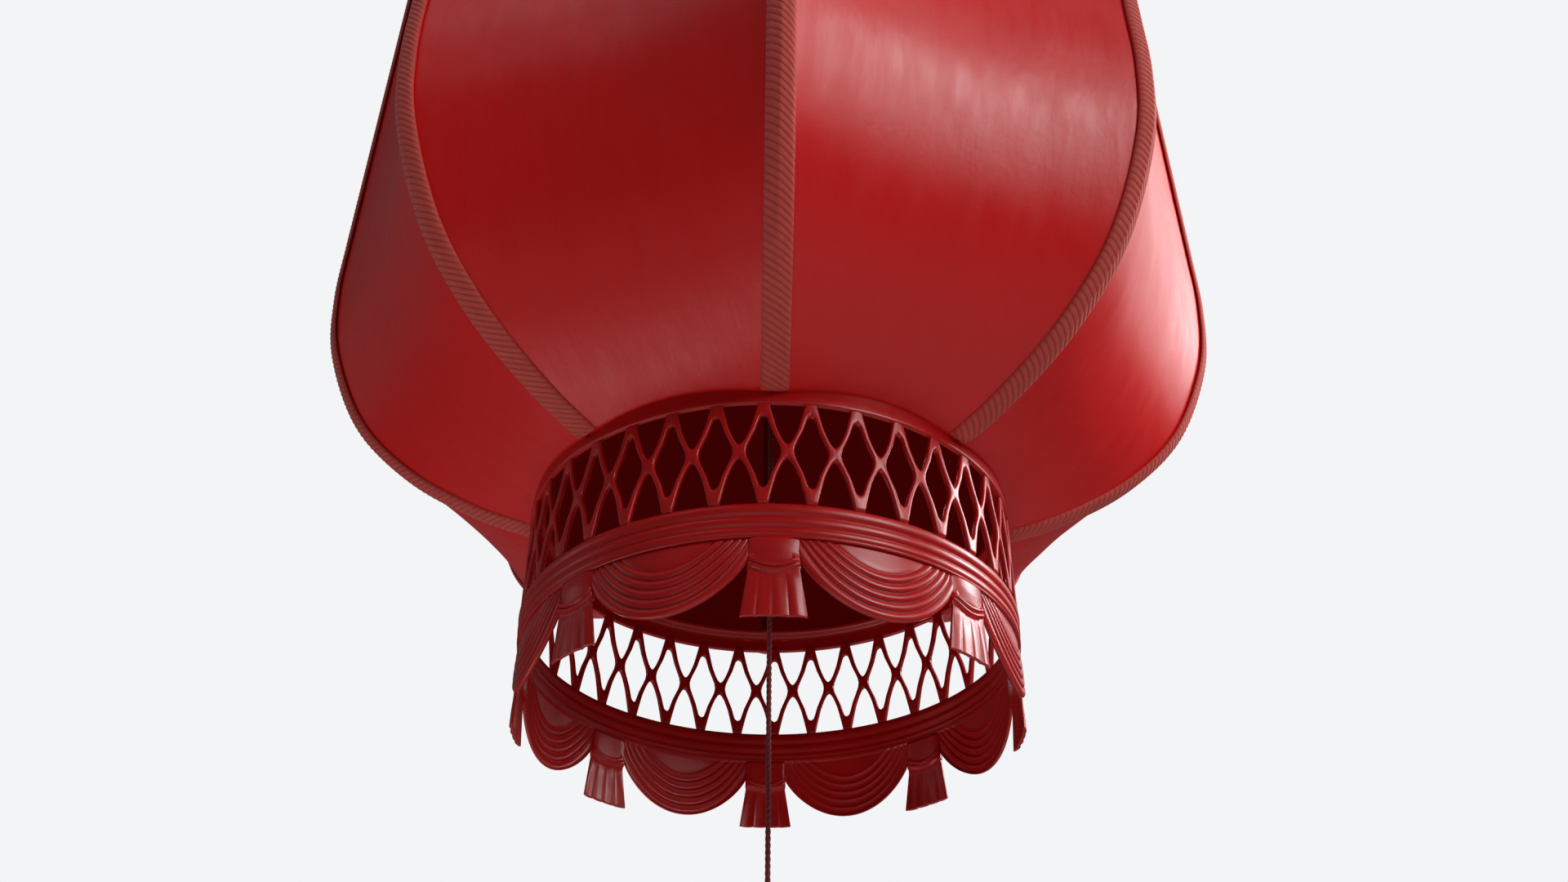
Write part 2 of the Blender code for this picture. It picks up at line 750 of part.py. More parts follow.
def build_bulb_guard():
    """A clamp ring, bowed wires and a boss with an eye under it, in one welded piece."""
    inner = HOLDER_RADIUS + GAP * 2
    low, high = GUARD_TOP - 0.005, GUARD_TOP + 0.003
    ring = ((inner, high), (inner + 0.0026, high), (inner + 0.0026, low), (inner, low))
    guard = turned("bulb_guard", ring, STEEL, 24, closed=True)
    boss = (
        (0, GUARD_HUB + 0.003),
        (0.0060, GUARD_HUB + 0.003),
        (0.0075, GUARD_HUB),
        (0.0060, GUARD_HUB - 0.003),
        (0, GUARD_HUB - 0.003),
    )
    boolean(guard, turned("guard_boss", boss, None, 16, place=CUTTERS), "UNION")
    for i in range(GUARD_WIRES):
        curve = tube("guard_wire", guard_line(), GUARD_WIRE, STEEL)
        loose = bpy.data.objects.new("guard_wire", curve)
        CUTTERS.objects.link(loose)
        bpy.context.view_layer.update()
        mesh = to_mesh(loose, f"guard_wire_{i + 1}")
        bpy.data.objects.remove(loose)
        wire = add(f"guard_wire_{i + 1}", mesh, STEEL, CUTTERS)
        wire.rotation_euler.z = (i + 0.5) * 2 * math.pi / GUARD_WIRES
        boolean(guard, wire, "UNION")
    eye = torus("guard_eye", GUARD_EYE_RADIUS, GUARD_EYE_WIRE, GUARD_EYE, "Y", STEEL, 20, 6, CUTTERS)
    boolean(guard, eye, "UNION")


# Centre cord and its tassel


def build_pendant():
    torus("pendant_link", LINK_RADIUS, LINK_WIRE, LINK_CENTRE, "X", STEEL, 20, 6, on=LINK_SWING)
    on = PENDANT_SWING
    torus("cord_end_ring", END_RING_RADIUS, END_RING_WIRE, END_RING_CENTRE, "Y", STEEL, 16, 6, on=on)
    line = [(0, 0, CORD_TOP + (CORD_BOTTOM - CORD_TOP) * i / 59) for i in range(60)]
    add("centre_cord", tube("centre_cord", line, CORD_RADIUS, CORD, 2), CORD, on=on)
    build_knot()
    build_pendant_tassel()


def build_knot():
    top = CORD_BOTTOM - GAP
    profile = [(0, top), (0.0020, top)]
    for i in range(1, 6):
        share = i / 6
        profile.append((0.0022 + 0.0046 * math.sin(math.pi * share), top - KNOT_HEIGHT * share))
    profile += [(0.0020, top - KNOT_HEIGHT), (0, top - KNOT_HEIGHT)]
    turned("cord_knot", profile, CORD, 14, on=PENDANT_SWING)


def build_pendant_tassel():
    top = CORD_BOTTOM - KNOT_HEIGHT - 2 * GAP
    low = top - TASSEL_HEAD_HEIGHT
    head = (
        (0, top),
        (0.0035, top),
        (0.0070, top - 0.0040),
        (0.0078, top - 0.0090),
        (0.0066, low),
        (0, low),
    )
    turned("pendant_tassel_head", head, SILK, 20, on=PENDANT_SWING)
    skirt_top = low - GAP
    skirt = (
        (0, skirt_top),
        (0.0070, skirt_top),
        (0.0085, skirt_top - 0.012),
        (0.0100, PENDANT_BOTTOM + 0.012),
        (0.0106, PENDANT_BOTTOM),
        (0, PENDANT_BOTTOM),
    )
    turned("pendant_tassel_skirt", skirt, SILK, 20, on=PENDANT_SWING)


build_ribs()
build_panels()
build_trims()
build_neck_rings()
build_lattice()
build_beaded_ring()
build_swags()
build_valance_tassels()
HUB_BOTTOM = build_top_spider()
build_top_cap()
build_cable_gland()
build_hanging(HUB_BOTTOM)
build_lamp_stem(HUB_BOTTOM - GAP)
build_lampholder()
build_bulb()
build_bulb_guard()
build_pendant()
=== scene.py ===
"""The lantern's looks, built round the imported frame. Metres, +Z up, -Y towards the camera."""

import math

import bmesh
import bpy
import numpy as np
from mathutils import Matrix, Vector


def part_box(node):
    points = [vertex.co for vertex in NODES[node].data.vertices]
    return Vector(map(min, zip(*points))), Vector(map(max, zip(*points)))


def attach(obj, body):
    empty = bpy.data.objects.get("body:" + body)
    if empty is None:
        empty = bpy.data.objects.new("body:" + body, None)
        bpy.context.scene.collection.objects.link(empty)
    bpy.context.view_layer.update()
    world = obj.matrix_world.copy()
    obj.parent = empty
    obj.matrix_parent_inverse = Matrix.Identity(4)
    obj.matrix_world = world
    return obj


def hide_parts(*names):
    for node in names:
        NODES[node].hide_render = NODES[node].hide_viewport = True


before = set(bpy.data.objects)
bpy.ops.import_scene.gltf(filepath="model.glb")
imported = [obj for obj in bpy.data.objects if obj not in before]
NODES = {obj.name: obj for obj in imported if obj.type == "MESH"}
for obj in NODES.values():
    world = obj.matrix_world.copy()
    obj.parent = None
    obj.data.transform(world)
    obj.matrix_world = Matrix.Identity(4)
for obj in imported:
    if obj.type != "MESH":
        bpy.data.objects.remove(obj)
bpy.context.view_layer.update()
MM = 0.001
LANTERN, LINK, PENDANT, HANGER = "lantern", "pendant_link", "pendant", "hanger"
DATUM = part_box("lattice_collar")[0].z + 38.2 * MM  # the level of the diamonds' upper points
BODY_RISE = 540 * MM  # between the lower datum and its mirror image at the top
RIBS = 8
STEP = 2 * math.pi / RIBS  # the angle between neighbouring ribs

# The camera was fitted to the picture: its lens, its place under the datum and its tilt.
LENS = 31.863
SENSOR_WIDTH = 36.0
CAMERA_PLACE = (-0.00706, -0.50988, -0.30338)
LOOKING_UP = 0.6192
LEANING = -0.02564

LIGHTS_AIM = 0.15  # the height above the datum that every light faces
FLOOR_DROP = 1.25  # from the datum down to the floor
FLOOR_SIZE = 14
CAMERA_SEES = (0.896, 0.905, 0.921, 1)
FILL_COLOUR = (0.95, 0.97, 1.0, 1)
FILL_STRENGTH = 0.08
FLOOR_LIT = (0.55, 0.56, 0.56, 1)
FLOOR_SEEN = (0.45, 0.46, 0.46, 1)
FLOOR_GLOW = (0.98, 0.99, 1.0, 1)
FLOOR_GLOW_STRENGTH = 0.62


# ---------------------------------------------------------------- camera, light, floor


def aim(obj, target):
    obj.rotation_euler = (Vector(target) - obj.location).to_track_quat("-Z", "Y").to_euler()


def add_camera():
    data = bpy.data.cameras.new("camera")
    data.lens = LENS
    data.sensor_width = SENSOR_WIDTH
    data.clip_start = 0.01
    camera = bpy.data.objects.new("camera", data)
    camera.location = (CAMERA_PLACE[0], CAMERA_PLACE[1], DATUM + CAMERA_PLACE[2])
    camera.rotation_euler = (math.pi / 2 + LOOKING_UP, 0, LEANING)
    bpy.context.scene.collection.objects.link(camera)
    bpy.context.scene.camera = camera


def softbox(name, azimuth, elevation, distance, size, power, colour=(1, 1, 1)):
    """An area light that faces the axis, from an azimuth (0 in front, 90 to the right) and an elevation."""
    a, e = math.radians(azimuth), math.radians(elevation)
    data = bpy.data.lights.new(name, "AREA")
    data.shape = "RECTANGLE"
    data.size, data.size_y = size
    data.energy = power
    data.color = colour
    light = bpy.data.objects.new(name, data)
    centre = Vector((0, 0, DATUM + LIGHTS_AIM))
    away = Vector((math.sin(a) * math.cos(e), -math.cos(a) * math.cos(e), math.sin(e)))
    light.location = centre + away * distance
    aim(light, centre)
    light.visible_camera = False
    bpy.context.scene.collection.objects.link(light)


def camera_mix(tree, lit, seen):
    """One shader for the camera's own rays and another for the light that falls on the lantern."""
    mix = tree.nodes.new("ShaderNodeMixShader")
    path = tree.nodes.new("ShaderNodeLightPath")
    tree.links.new(path.outputs["Is Camera Ray"], mix.inputs[0])
    tree.links.new(lit.outputs[0], mix.inputs[1])
    tree.links.new(seen.outputs[0], mix.inputs[2])
    return mix.outputs[0]


def add_world():
    """A pale backdrop for the camera, and a weak fill for everything else."""
    world = bpy.data.worlds.new("studio")
    bpy.context.scene.world = world
    world.use_nodes = True
    tree = world.node_tree
    tree.nodes.clear()
    out = tree.nodes.new("ShaderNodeOutputWorld")
    seen, fill = (tree.nodes.new("ShaderNodeBackground") for _ in range(2))
    seen.inputs["Color"].default_value = CAMERA_SEES
    fill.inputs["Color"].default_value = FILL_COLOUR
    fill.inputs["Strength"].default_value = FILL_STRENGTH
    tree.links.new(camera_mix(tree, fill, seen), out.inputs[0])


def add_floor():
    """A pale floor. The camera sees it a little brighter than it lights the lantern from below."""
    bpy.ops.mesh.primitive_plane_add(size=FLOOR_SIZE, location=(0, 0, DATUM - FLOOR_DROP))
    floor = bpy.context.object
    floor.name = "floor"
    made = bpy.data.materials.new("floor")
    made.use_nodes = True
    tree = made.node_tree
    lit = tree.nodes["Principled BSDF"]
    lit.inputs["Base Color"].default_value = FLOOR_LIT
    lit.inputs["Roughness"].default_value = 0.8
    pale = tree.nodes.new("ShaderNodeBsdfPrincipled")
    pale.inputs["Base Color"].default_value = FLOOR_SEEN
    pale.inputs["Roughness"].default_value = 0.9
    pale.inputs["Emission Color"].default_value = FLOOR_GLOW
    pale.inputs["Emission Strength"].default_value = FLOOR_GLOW_STRENGTH
    tree.links.new(camera_mix(tree, lit, pale), tree.nodes["Material Output"].inputs[0])
    floor.data.materials.append(made)


def add_stage():
    """A bright soft side on the right, weak soft lights on the left and below, as in the picture."""
    bpy.context.scene.view_settings.view_transform = "Standard"
    add_camera()
    add_world()
    add_floor()
    softbox("front_right", 44, 21, 2.2, (0.9, 0.75), 20)
    softbox("front_left_high", -43, 50, 2.2, (1.0, 0.6), 1.6, (0.90, 0.94, 1.0))
    softbox("right", 99, 27, 2.4, (0.9, 0.8), 37)
    softbox("back_right", 132, 38, 2.4, (1.6, 1.8), 7.5)
    softbox("left", -90, 10, 2.4, (1.0, 1.0), 1.8)
    softbox("low_left", -98, -62, 1.15, (0.5, 0.5), 1.3)
    softbox("low_front", -12, -35, 1.3, (0.8, 0.6), 0.45)
    softbox("above", 0, 89, 2.4, (2.4, 2.4), 6)
    softbox("back", 179, 14, 2.4, (1.2, 1.2), 9)


# ---------------------------------------------------------------- material nodes


class Look:
    """A Principled material that is put together node by node."""

    def __init__(self, name, colour, roughness, metallic=0.0, **values):
        # self.colour is a plain colour until a tint makes it a node's output.
        self.material = bpy.data.materials.new(name)
        self.material.use_nodes = True
        self.tree = self.material.node_tree
        self.shader = self.tree.nodes["Principled BSDF"]
        self.shader.inputs["Metallic"].default_value = metallic
        self.shader.inputs["Roughness"].default_value = roughness
        self.colour = (*colour, 1.0)
        self.rough = None
        self.bump = None
        for socket, value in values.items():
            self.shader.inputs[socket.replace("_", " ")].default_value = value

    def feed(self, socket, value):
        """Links a socket to another node's output, or sets it to a plain value."""
        if isinstance(value, bpy.types.NodeSocket):
            self.tree.links.new(value, socket)
        else:
            socket.default_value = value

    def node(self, kind, **inputs):
        made = self.tree.nodes.new("ShaderNode" + kind)
        for key, value in inputs.items():
            self.feed(made.inputs[key.replace("_", " ")], value)
        return made

    def attribute(self, name):
        made = self.tree.nodes.new("ShaderNodeAttribute")
        made.attribute_name = name
        return made.outputs["Fac"]

    def coordinate(self, scale=(1, 1, 1), uv=False):
        place = self.tree.nodes.new("ShaderNodeTexCoord").outputs["UV" if uv else "Object"]
        return self.node("Mapping", Vector=place, Scale=scale).outputs[0]

    def noise(self, scale, detail=3.0, stretch=(1, 1, 1), distortion=0.0, uv=False):
        made = self.node(
            "TexNoise",
            Vector=self.coordinate(stretch, uv),
            Scale=scale,
            Detail=detail,
            Distortion=distortion,
        )
        return made.outputs["Fac"]

    def wave(self, scale, stretch=(1, 1, 1), distortion=0.0, uv=True, direction="X"):
        made = self.node("TexWave", Vector=self.coordinate(stretch, uv), Scale=scale, Distortion=distortion)
        made.bands_direction = direction
        return made.outputs["Fac"]

    def ramp(self, value, low, high, start=0.0, end=1.0):
        """value, from low to high, taken to start to end."""
        made = self.node("MapRange", Value=value, From_Min=low, From_Max=high, To_Min=start, To_Max=end)
        return made.outputs[0]

    def math(self, operation, a, b):
        made = self.tree.nodes.new("ShaderNodeMath")
        made.operation = operation
        for socket, value in zip(made.inputs, (a, b)):
            self.feed(socket, value)
        return made.outputs[0]

    def tint(self, share, colour):
        """Lays a colour over what is there, by share."""
        made = self.tree.nodes.new("ShaderNodeMix")
        made.data_type = "RGBA"
        made.blend_type = "MIX"
        colours = [s for s in made.inputs if s.type == "RGBA"]
        self.tree.links.new(share, made.inputs[0])
        for socket, value in zip(colours, (self.colour, (*colour, 1.0))):
            self.feed(socket, value)
        self.colour = [s for s in made.outputs if s.type == "RGBA"][0]

    def roughen(self, value, low, high, start, end):
        """Lets the roughness follow value, as ramp does."""
        self.rough = self.ramp(value, low, high, start, end)

    def raised(self, height, distance, strength=1.0):
        """Adds relief to the surface, distance metres deep."""
        made = self.node("Bump", Height=height, Distance=distance, Strength=strength)
        if self.bump is not None:
            self.tree.links.new(self.bump, made.inputs["Normal"])
        self.bump = made.outputs[0]

    def done(self):
        self.feed(self.shader.inputs["Base Color"], self.colour)
        if self.rough is not None:
            self.tree.links.new(self.rough, self.shader.inputs["Roughness"])
        if self.bump is not None:
            self.tree.links.new(self.bump, self.shader.inputs["Normal"])
        return self.material


def satin_look():
    """Deep red satin: cloudy colour, soft streaks along the panel, slack and a fine weave."""
    look = Look("satin", (0.86, 0.007, 0.007), 0.37, Specular_IOR_Level=0.46)
    cloudy = look.noise(9, 4)
    look.tint(look.ramp(cloudy, 0.35, 0.7, 0.0, 0.3), (0.70, 0.005, 0.006))
    streaks = look.noise(34, 5, (3.0, 0.6, 1.0), 0.5, uv=True)
    look.tint(look.ramp(streaks, 0.4, 0.75, 0.0, 0.14), (0.88, 0.015, 0.014))
    look.roughen(look.noise(60, 5, (2.2, 0.6, 1), 0.4, uv=True), 0.3, 0.72, 0.33, 0.44)
    look.raised(look.noise(22, 3, (2.4, 0.6, 1), 0.4, uv=True), 0.0008, 0.5)
    look.raised(look.noise(62, 3, (2.6, 0.55, 1), 0.6, uv=True), 0.00030, 0.5)
    look.raised(look.noise(330, 4, (1.2, 0.8, 1), 0.3, uv=True), 0.00012, 0.5)
    warp = look.wave(900, direction="X", distortion=0.6)
    weft = look.wave(760, direction="Y", distortion=0.6)
    look.raised(look.math("MULTIPLY", warp, weft), 0.00001, 0.7)
    return look.done()


def lining_look():
    """The cloth's inside, an open dark weave."""
    look = Look("lining", (0.22, 0.002, 0.002), 0.75, Specular_IOR_Level=0.2)
    # Painted light: the lining glows faintly, standing in for daylight that comes through the cloth.
    look.shader.inputs["Emission Color"].default_value = (1.0, 0.012, 0.010, 1)
    look.shader.inputs["Emission Strength"].default_value = 0.030
    warp = look.wave(300, direction="X", distortion=0.2)
    weft = look.wave(300, direction="Y", distortion=0.2)
    net = look.math("MULTIPLY", warp, weft)
    look.tint(net, (0.05, 0.001, 0.001))
    look.raised(net, 0.00003)
    return look.done()


def rope_look(name, base, groove):
    """Twisted thread, dusty in patches, with painted shade in the hollows between its strands."""
    look = Look(name, base, 0.72, Specular_IOR_Level=0.3, Sheen_Weight=0.12, Sheen_Roughness=0.5)
    dusty = tuple(0.78 * c for c in base)
    look.tint(look.ramp(look.noise(220, 4), 0.35, 0.7, 0.0, 0.5), dusty)
    # Painted shade, darker in the hollows between the strands and under the band.
    look.tint(look.attribute("groove"), groove)
    threads = look.noise(900, 3, (1, 1, 0.35))
    look.raised(threads, 0.00012, 0.7)
    return look.done()


def lacquer_look():
    """Moulded red plastic, with painted shade in its creases and a painted highlight along its edges."""
    look = Look("lacquer", (0.55, 0.005, 0.005), 0.28, Specular_IOR_Level=0.5)
    mottle = look.noise(45, 4)
    look.tint(look.ramp(mottle, 0.35, 0.7, 0.0, 0.5), (0.44, 0.003, 0.0035))
    # Painted shade, darker in the creases and in the valleys between pleats.
    look.tint(look.attribute("groove"), (0.10, 0.001, 0.001))
    # Painted highlight, a pale line along the edges and the hems.
    look.tint(look.attribute("edge"), (0.60, 0.03, 0.025))
    look.roughen(look.noise(130, 4), 0.3, 0.7, 0.28, 0.37)
    look.raised(look.noise(240, 3), 0.00002, 0.5)
    return look.done()


def metal_look(name, colour, roughness):
    """Brushed metal with duller patches. roughness is its lowest and highest."""
    look = Look(name, colour, sum(roughness) / 2, 1.0)
    dark = tuple(0.6 * c for c in colour)
    look.tint(look.ramp(look.noise(60, 5), 0.45, 0.75, 0.0, 0.5), dark)
    brushed = look.noise(900, 3, (1, 1, 0.04))
    look.roughen(brushed, 0.3, 0.7, *roughness)
    look.raised(brushed, 0.00002, 0.5)
    return look.done()


def bakelite_look():
    look = Look("bakelite", (0.026, 0.022, 0.020), 0.35)
    look.tint(look.ramp(look.noise(35, 4), 0.4, 0.7, 0.0, 0.5), (0.045, 0.032, 0.026))
    look.roughen(look.noise(200, 4), 0.3, 0.7, 0.28, 0.46)
    look.raised(look.noise(700, 2), 0.00004, 0.5)
    return look.done()


def glass_look():
    look = Look("opal_glass", (0.86, 0.84, 0.80), 0.12, Subsurface_Weight=0.3, Subsurface_Scale=0.006)
    look.tint(look.ramp(look.noise(18, 3), 0.4, 0.7, 0.0, 0.3), (0.80, 0.77, 0.71))
    look.roughen(look.noise(90, 3), 0.3, 0.7, 0.08, 0.18)
    return look.done()


def silk_look():
    """Fine thread that runs up and down."""
    look = Look("silk_thread", (0.21, 0.010, 0.012), 0.42, Sheen_Weight=0.3, Sheen_Roughness=0.4)
    look.tint(look.ramp(look.noise(500, 3, (1, 1, 0.05)), 0.35, 0.7, 0.0, 0.7), (0.12, 0.004, 0.006))
    # Painted shade, darker between the wraps of the head and on the inner rings of the skirt.
    look.tint(look.attribute("groove"), (0.035, 0.002, 0.002))
    look.raised(look.noise(2200, 3, (1, 1, 0.04)), 0.0001, 0.6)
    return look.done()


# ---------------------------------------------------------------- mesh tools


def put(mesh, name, body, material, nodes):
    """The mesh as a piece that rides on a body and stands for its CAD nodes."""
    obj = bpy.data.objects.new(name, mesh)
    bpy.context.scene.collection.objects.link(obj)
    if material:
        mesh.materials.append(material)
    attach(obj, body)
    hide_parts(*nodes)
    return obj


def face_grid(rows, columns, wrap_rows, wrap_columns):
    """Corner indices of the quads of a grid of points."""
    i = np.arange(rows if wrap_rows else rows - 1)[:, None]
    j = np.arange(columns if wrap_columns else columns - 1)[None]
    down, right = (i + 1) % rows, (j + 1) % columns
    corners = (i * columns + j, i * columns + right, down * columns + right, down * columns + j)
    return np.stack(corners, -1).reshape(-1, 4)


def grid(name, points, wrap_rows=False, wrap_columns=False, weld=0.0, uv=None, **attributes):
    """A smooth mesh of quads over rows of points, with any per-point attributes and a cloth UV in metres."""
    points = np.asarray(points, float)
    rows, columns = points.shape[:2]
    faces = face_grid(rows, columns, wrap_rows, wrap_columns)
    mesh = bpy.data.meshes.new(name)
    mesh.from_pydata(points.reshape(-1, 3).tolist(), [], faces.tolist())
    for key, values in attributes.items():
        made = mesh.attributes.new(key, "FLOAT", "POINT")
        made.data.foreach_set("value", np.asarray(values, np.float32).ravel())
    if uv is not None:
        layer = mesh.uv_layers.new(name="cloth")
        layer.data.foreach_set("uv", np.asarray(uv, np.float32).reshape(-1, 2)[faces.ravel()].ravel())
    if weld:
        clean(mesh, weld)
    mesh.shade_smooth()
    return mesh


def clean(mesh, weld):
    """Joins points closer than weld, in metres, and turns every face outwards."""
    form = bmesh.new()
    form.from_mesh(mesh)
    bmesh.ops.remove_doubles(form, verts=form.verts, dist=weld)
    bmesh.ops.recalc_face_normals(form, faces=form.faces)
    form.to_mesh(mesh)
    form.free()


def rounded(profile):
    """Corner cutting: each of two passes takes the corners off a closed line of points."""
    line = np.asarray(profile, float)
    for _ in range(2):
        after = np.roll(line, -1, 0)
        near, far = 0.75 * line + 0.25 * after, 0.25 * line + 0.75 * after
        line = np.stack([near, far], 1).reshape(-1, line.shape[1])
    return line


def ring_points(profile, steps):
    """Profile points (radius, height above the datum, in mm) turned about the axis."""
    line = np.asarray(profile, float) * MM
    turn = np.linspace(0, 2 * math.pi, steps, endpoint=False)
    radius, height = line[:, 0, None], line[:, 1, None]
    return np.stack([radius * np.sin(turn), -radius * np.cos(turn), height + DATUM + 0 * turn], -1)


def turned(name, profile, material, node, steps, closed=True):
    """A turned piece of the lantern. A closed profile is a ring's section, an open one ends on the axis."""
    mesh = grid(name, ring_points(profile, steps), wrap_rows=closed, wrap_columns=True, weld=1e-6)
    return put(mesh, name, LANTERN, material, [node])


def torus(name, centre_height, radius, wire, axis, material, node, body):
    """A ring of round wire about X or Y, with its sizes in mm."""
    turn = np.linspace(0, 2 * math.pi, 64, endpoint=False)[:, None]
    round_ = np.linspace(0, 2 * math.pi, 20, endpoint=False)[None]
    reach = radius + wire * np.cos(round_)
    flat, up, side = reach * np.cos(turn), reach * np.sin(turn), wire * np.sin(round_) + 0 * turn
    x, y = (side, flat) if axis == "X" else (flat, side)
    points = np.stack([x, y, up], -1) * MM
    points[..., 2] += DATUM + centre_height * MM
    mesh = grid(name, points, True, True, weld=1e-7)
    return put(mesh, name, body, material, [node])


def tube_points(line, radii, sides):
    """Rings of points round a line. radii is one radius per ring, or one per point."""
    line = np.asarray(line, float)
    tangent = np.gradient(line, axis=0)
    tangent /= np.linalg.norm(tangent, axis=1, keepdims=True)
    side = np.cross(tangent[0], (0.3, 1.0, 0.2))
    sides_, ups = [], []
    for t in tangent:
        side = side - t * side.dot(t)
        side /= np.linalg.norm(side)
        sides_.append(side)
        ups.append(np.cross(t, side))
    turn = np.linspace(0, 2 * math.pi, sides, endpoint=False)
    radii = np.broadcast_to(np.asarray(radii, float).reshape(len(line), -1), (len(line), sides))
    across = np.array(sides_)[:, None] * np.cos(turn)[None, :, None]
    upward = np.array(ups)[:, None] * np.sin(turn)[None, :, None]
    return line[:, None] + radii[..., None] * (across + upward)


def capped(points):
    """The same rings with their ends drawn in to a point, so that a weld closes them."""
    first, last = points[0].mean(0), points[-1].mean(0)
    start = np.broadcast_to(first, points[:1].shape)
    end = np.broadcast_to(last, points[-1:].shape)
    return np.concatenate([start, points, end])


def join_meshes(name, meshes):
    """One smooth mesh out of many, which are then dropped."""
    form = bmesh.new()
    for mesh in meshes:
        form.from_mesh(mesh)
        bpy.data.meshes.remove(mesh)
    joined = bpy.data.meshes.new(name)
    form.to_mesh(joined)
    form.free()
    joined.shade_smooth()
    return joined


def turn_about_axis(mesh, azimuth):
    """The mesh itself, turned about the lantern's axis."""
    mesh.transform(Matrix.Rotation(azimuth, 4, "Z"))
    return mesh


# ---------------------------------------------------------------- body

# The seam over the lower shoulder: radius and height above the datum, in mm. The upper one mirrors it.
SHOULDER = ((102, 10.2), (129, 20), (160, 38), (186, 65), (204, 105), (209.5, 140), (210, 175))
SAG = 10 * MM  # how far the cloth draws in between two ribs where the body is widest
NECK_RADIUS = 102 * MM
SHOULDER_WIDTH = 108 * MM  # from the neck's radius out to the body's
SEAM_GAP = 0.3 * MM  # between the cloth's edge and the middle of the seam
CLOTH_END_RADIUS = 99.2 * MM  # inside the neck ring
CLOTH_THICKNESS = 0.6 * MM
LONG_WAVES = 0.7 * MM
SHORT_WAVES = 0.22 * MM


def body_line():
    """The seam from neck to neck, with the distance along it."""
    points = [np.array(p) * MM for p in SHOULDER]
    ends = [2 * points[0] - points[1], *points, 2 * points[-1] - points[-2]]
    line = []
    for a, b, c, d in zip(ends, ends[1:], ends[2:], ends[3:]):
        for t in np.arange(0, 1, 0.125):
            curve = 2 * b + (c - a) * t + (2 * a - 5 * b + 4 * c - d) * t * t + (3 * b - a - 3 * c + d) * t**3
            line.append(curve / 2)
    lower = np.array(line + [points[-1]])
    upper = lower[::-1] * (1, -1) + (0, BODY_RISE)
    line = np.concatenate([lower, upper])
    marks = np.concatenate([[0], np.cumsum(np.linalg.norm(np.diff(line, axis=0), axis=1))])
    return line, marks


SEAM, MARKS = body_line()
LENGTH = MARKS[-1]


def seam_at(distance):
    """(radius, height, normal's radius, normal's height) at distances along the seam."""
    radius = np.interp(distance, MARKS, SEAM[:, 0])
    height = np.interp(distance, MARKS, SEAM[:, 1])
    step = 4 * MM
    ahead, behind = np.clip(distance + step, 0, LENGTH), np.clip(distance - step, 0, LENGTH)
    run = [np.interp(ahead, MARKS, SEAM[:, i]) - np.interp(behind, MARKS, SEAM[:, i]) for i in (0, 1)]
    size = np.hypot(*run)
    return radius, height, run[1] / size, -run[0] / size


def panel_points(distance, across):
    """Points of the panel that faces -Y. across runs from -1 to 1, from seam to seam."""
    radius, height, _, _ = seam_at(distance)
    sag = SAG * (radius - NECK_RADIUS) / SHOULDER_WIDTH
    x = (radius * math.sin(STEP / 2) - SEAM_GAP) * across
    y = -radius * math.cos(STEP / 2) + sag * (1 - across**2)
    return np.stack([x, y, height + DATUM], -1)


def mouth(across):
    """How far along the seam the cloth starts, so that its edge lies inside the neck ring."""
    marks = MARKS[:40]  # the lower shoulder's
    line = panel_points(marks, across)
    return float(np.interp(CLOTH_END_RADIUS, np.hypot(line[:, 0], line[:, 1]), marks))


def smooth_noise(shape, cells, seed):
    """Noise in -1..1 over a grid, from a coarse grid of seeded values."""
    random = np.random.default_rng(seed).uniform(-1, 1, (cells[0] + 3, cells[1] + 3))
    u = np.linspace(0, cells[0], shape[0])[:, None] + np.zeros(shape)
    v = np.linspace(0, cells[1], shape[1])[None] + np.zeros(shape)
    i, j = u.astype(int), v.astype(int)
    fu, fv = u - i, v - j
    fu, fv = fu * fu * (3 - 2 * fu), fv * fv * (3 - 2 * fv)
    low = random[i, j] * (1 - fv) + random[i, j + 1] * fv
    high = random[i + 1, j] * (1 - fv) + random[i + 1, j + 1] * fv
    return low * (1 - fu) + high * fu


def panel_mesh(seed, satin, lining):
    """The panel that faces -Y, from neck ring to neck ring."""
    rows, columns = 170, 61
    across = np.linspace(-1, 1, columns)[None] + np.zeros((rows, columns))
    first = np.array([mouth(a) for a in across[0]])[None]
    share = np.linspace(0, 1, rows)[:, None]
    distance = first + (LENGTH - 2 * first) * share
    points = panel_points(distance, across)
    # Slack that the stretching leaves: long soft waves and short faint ones, which fade out at every edge.
    fade = (1 - across**2) * np.sin(math.pi * share) ** 0.5
    waves = smooth_noise((rows, columns), (7, 5), seed) * LONG_WAVES
    waves += smooth_noise((rows, columns), (26, 10), seed + 50) * SHORT_WAVES
    points[..., 1] += waves * fade
    half_width = seam_at(distance)[0] * math.sin(STEP / 2)
    uv = np.stack([across * half_width, distance], -1)
    mesh = grid("panel", points, uv=uv)
    mesh.materials.append(satin)
    mesh.materials.append(lining)
    return mesh


def add_panels(satin, lining):
    """Eight panels, satin outside and lining inside, each stretched between its two ribs."""
    for k in range(RIBS):
        mesh = turn_about_axis(panel_mesh(k, satin, lining), (k + 0.5) * STEP)
        obj = put(mesh, f"satin_panel_{k + 1}", LANTERN, None, [f"panel_{k + 1}"])
        solid = obj.modifiers.new("thickness", "SOLIDIFY")
        solid.thickness = CLOTH_THICKNESS
        solid.offset = -1
        solid.material_offset = 1
        solid.use_rim = True


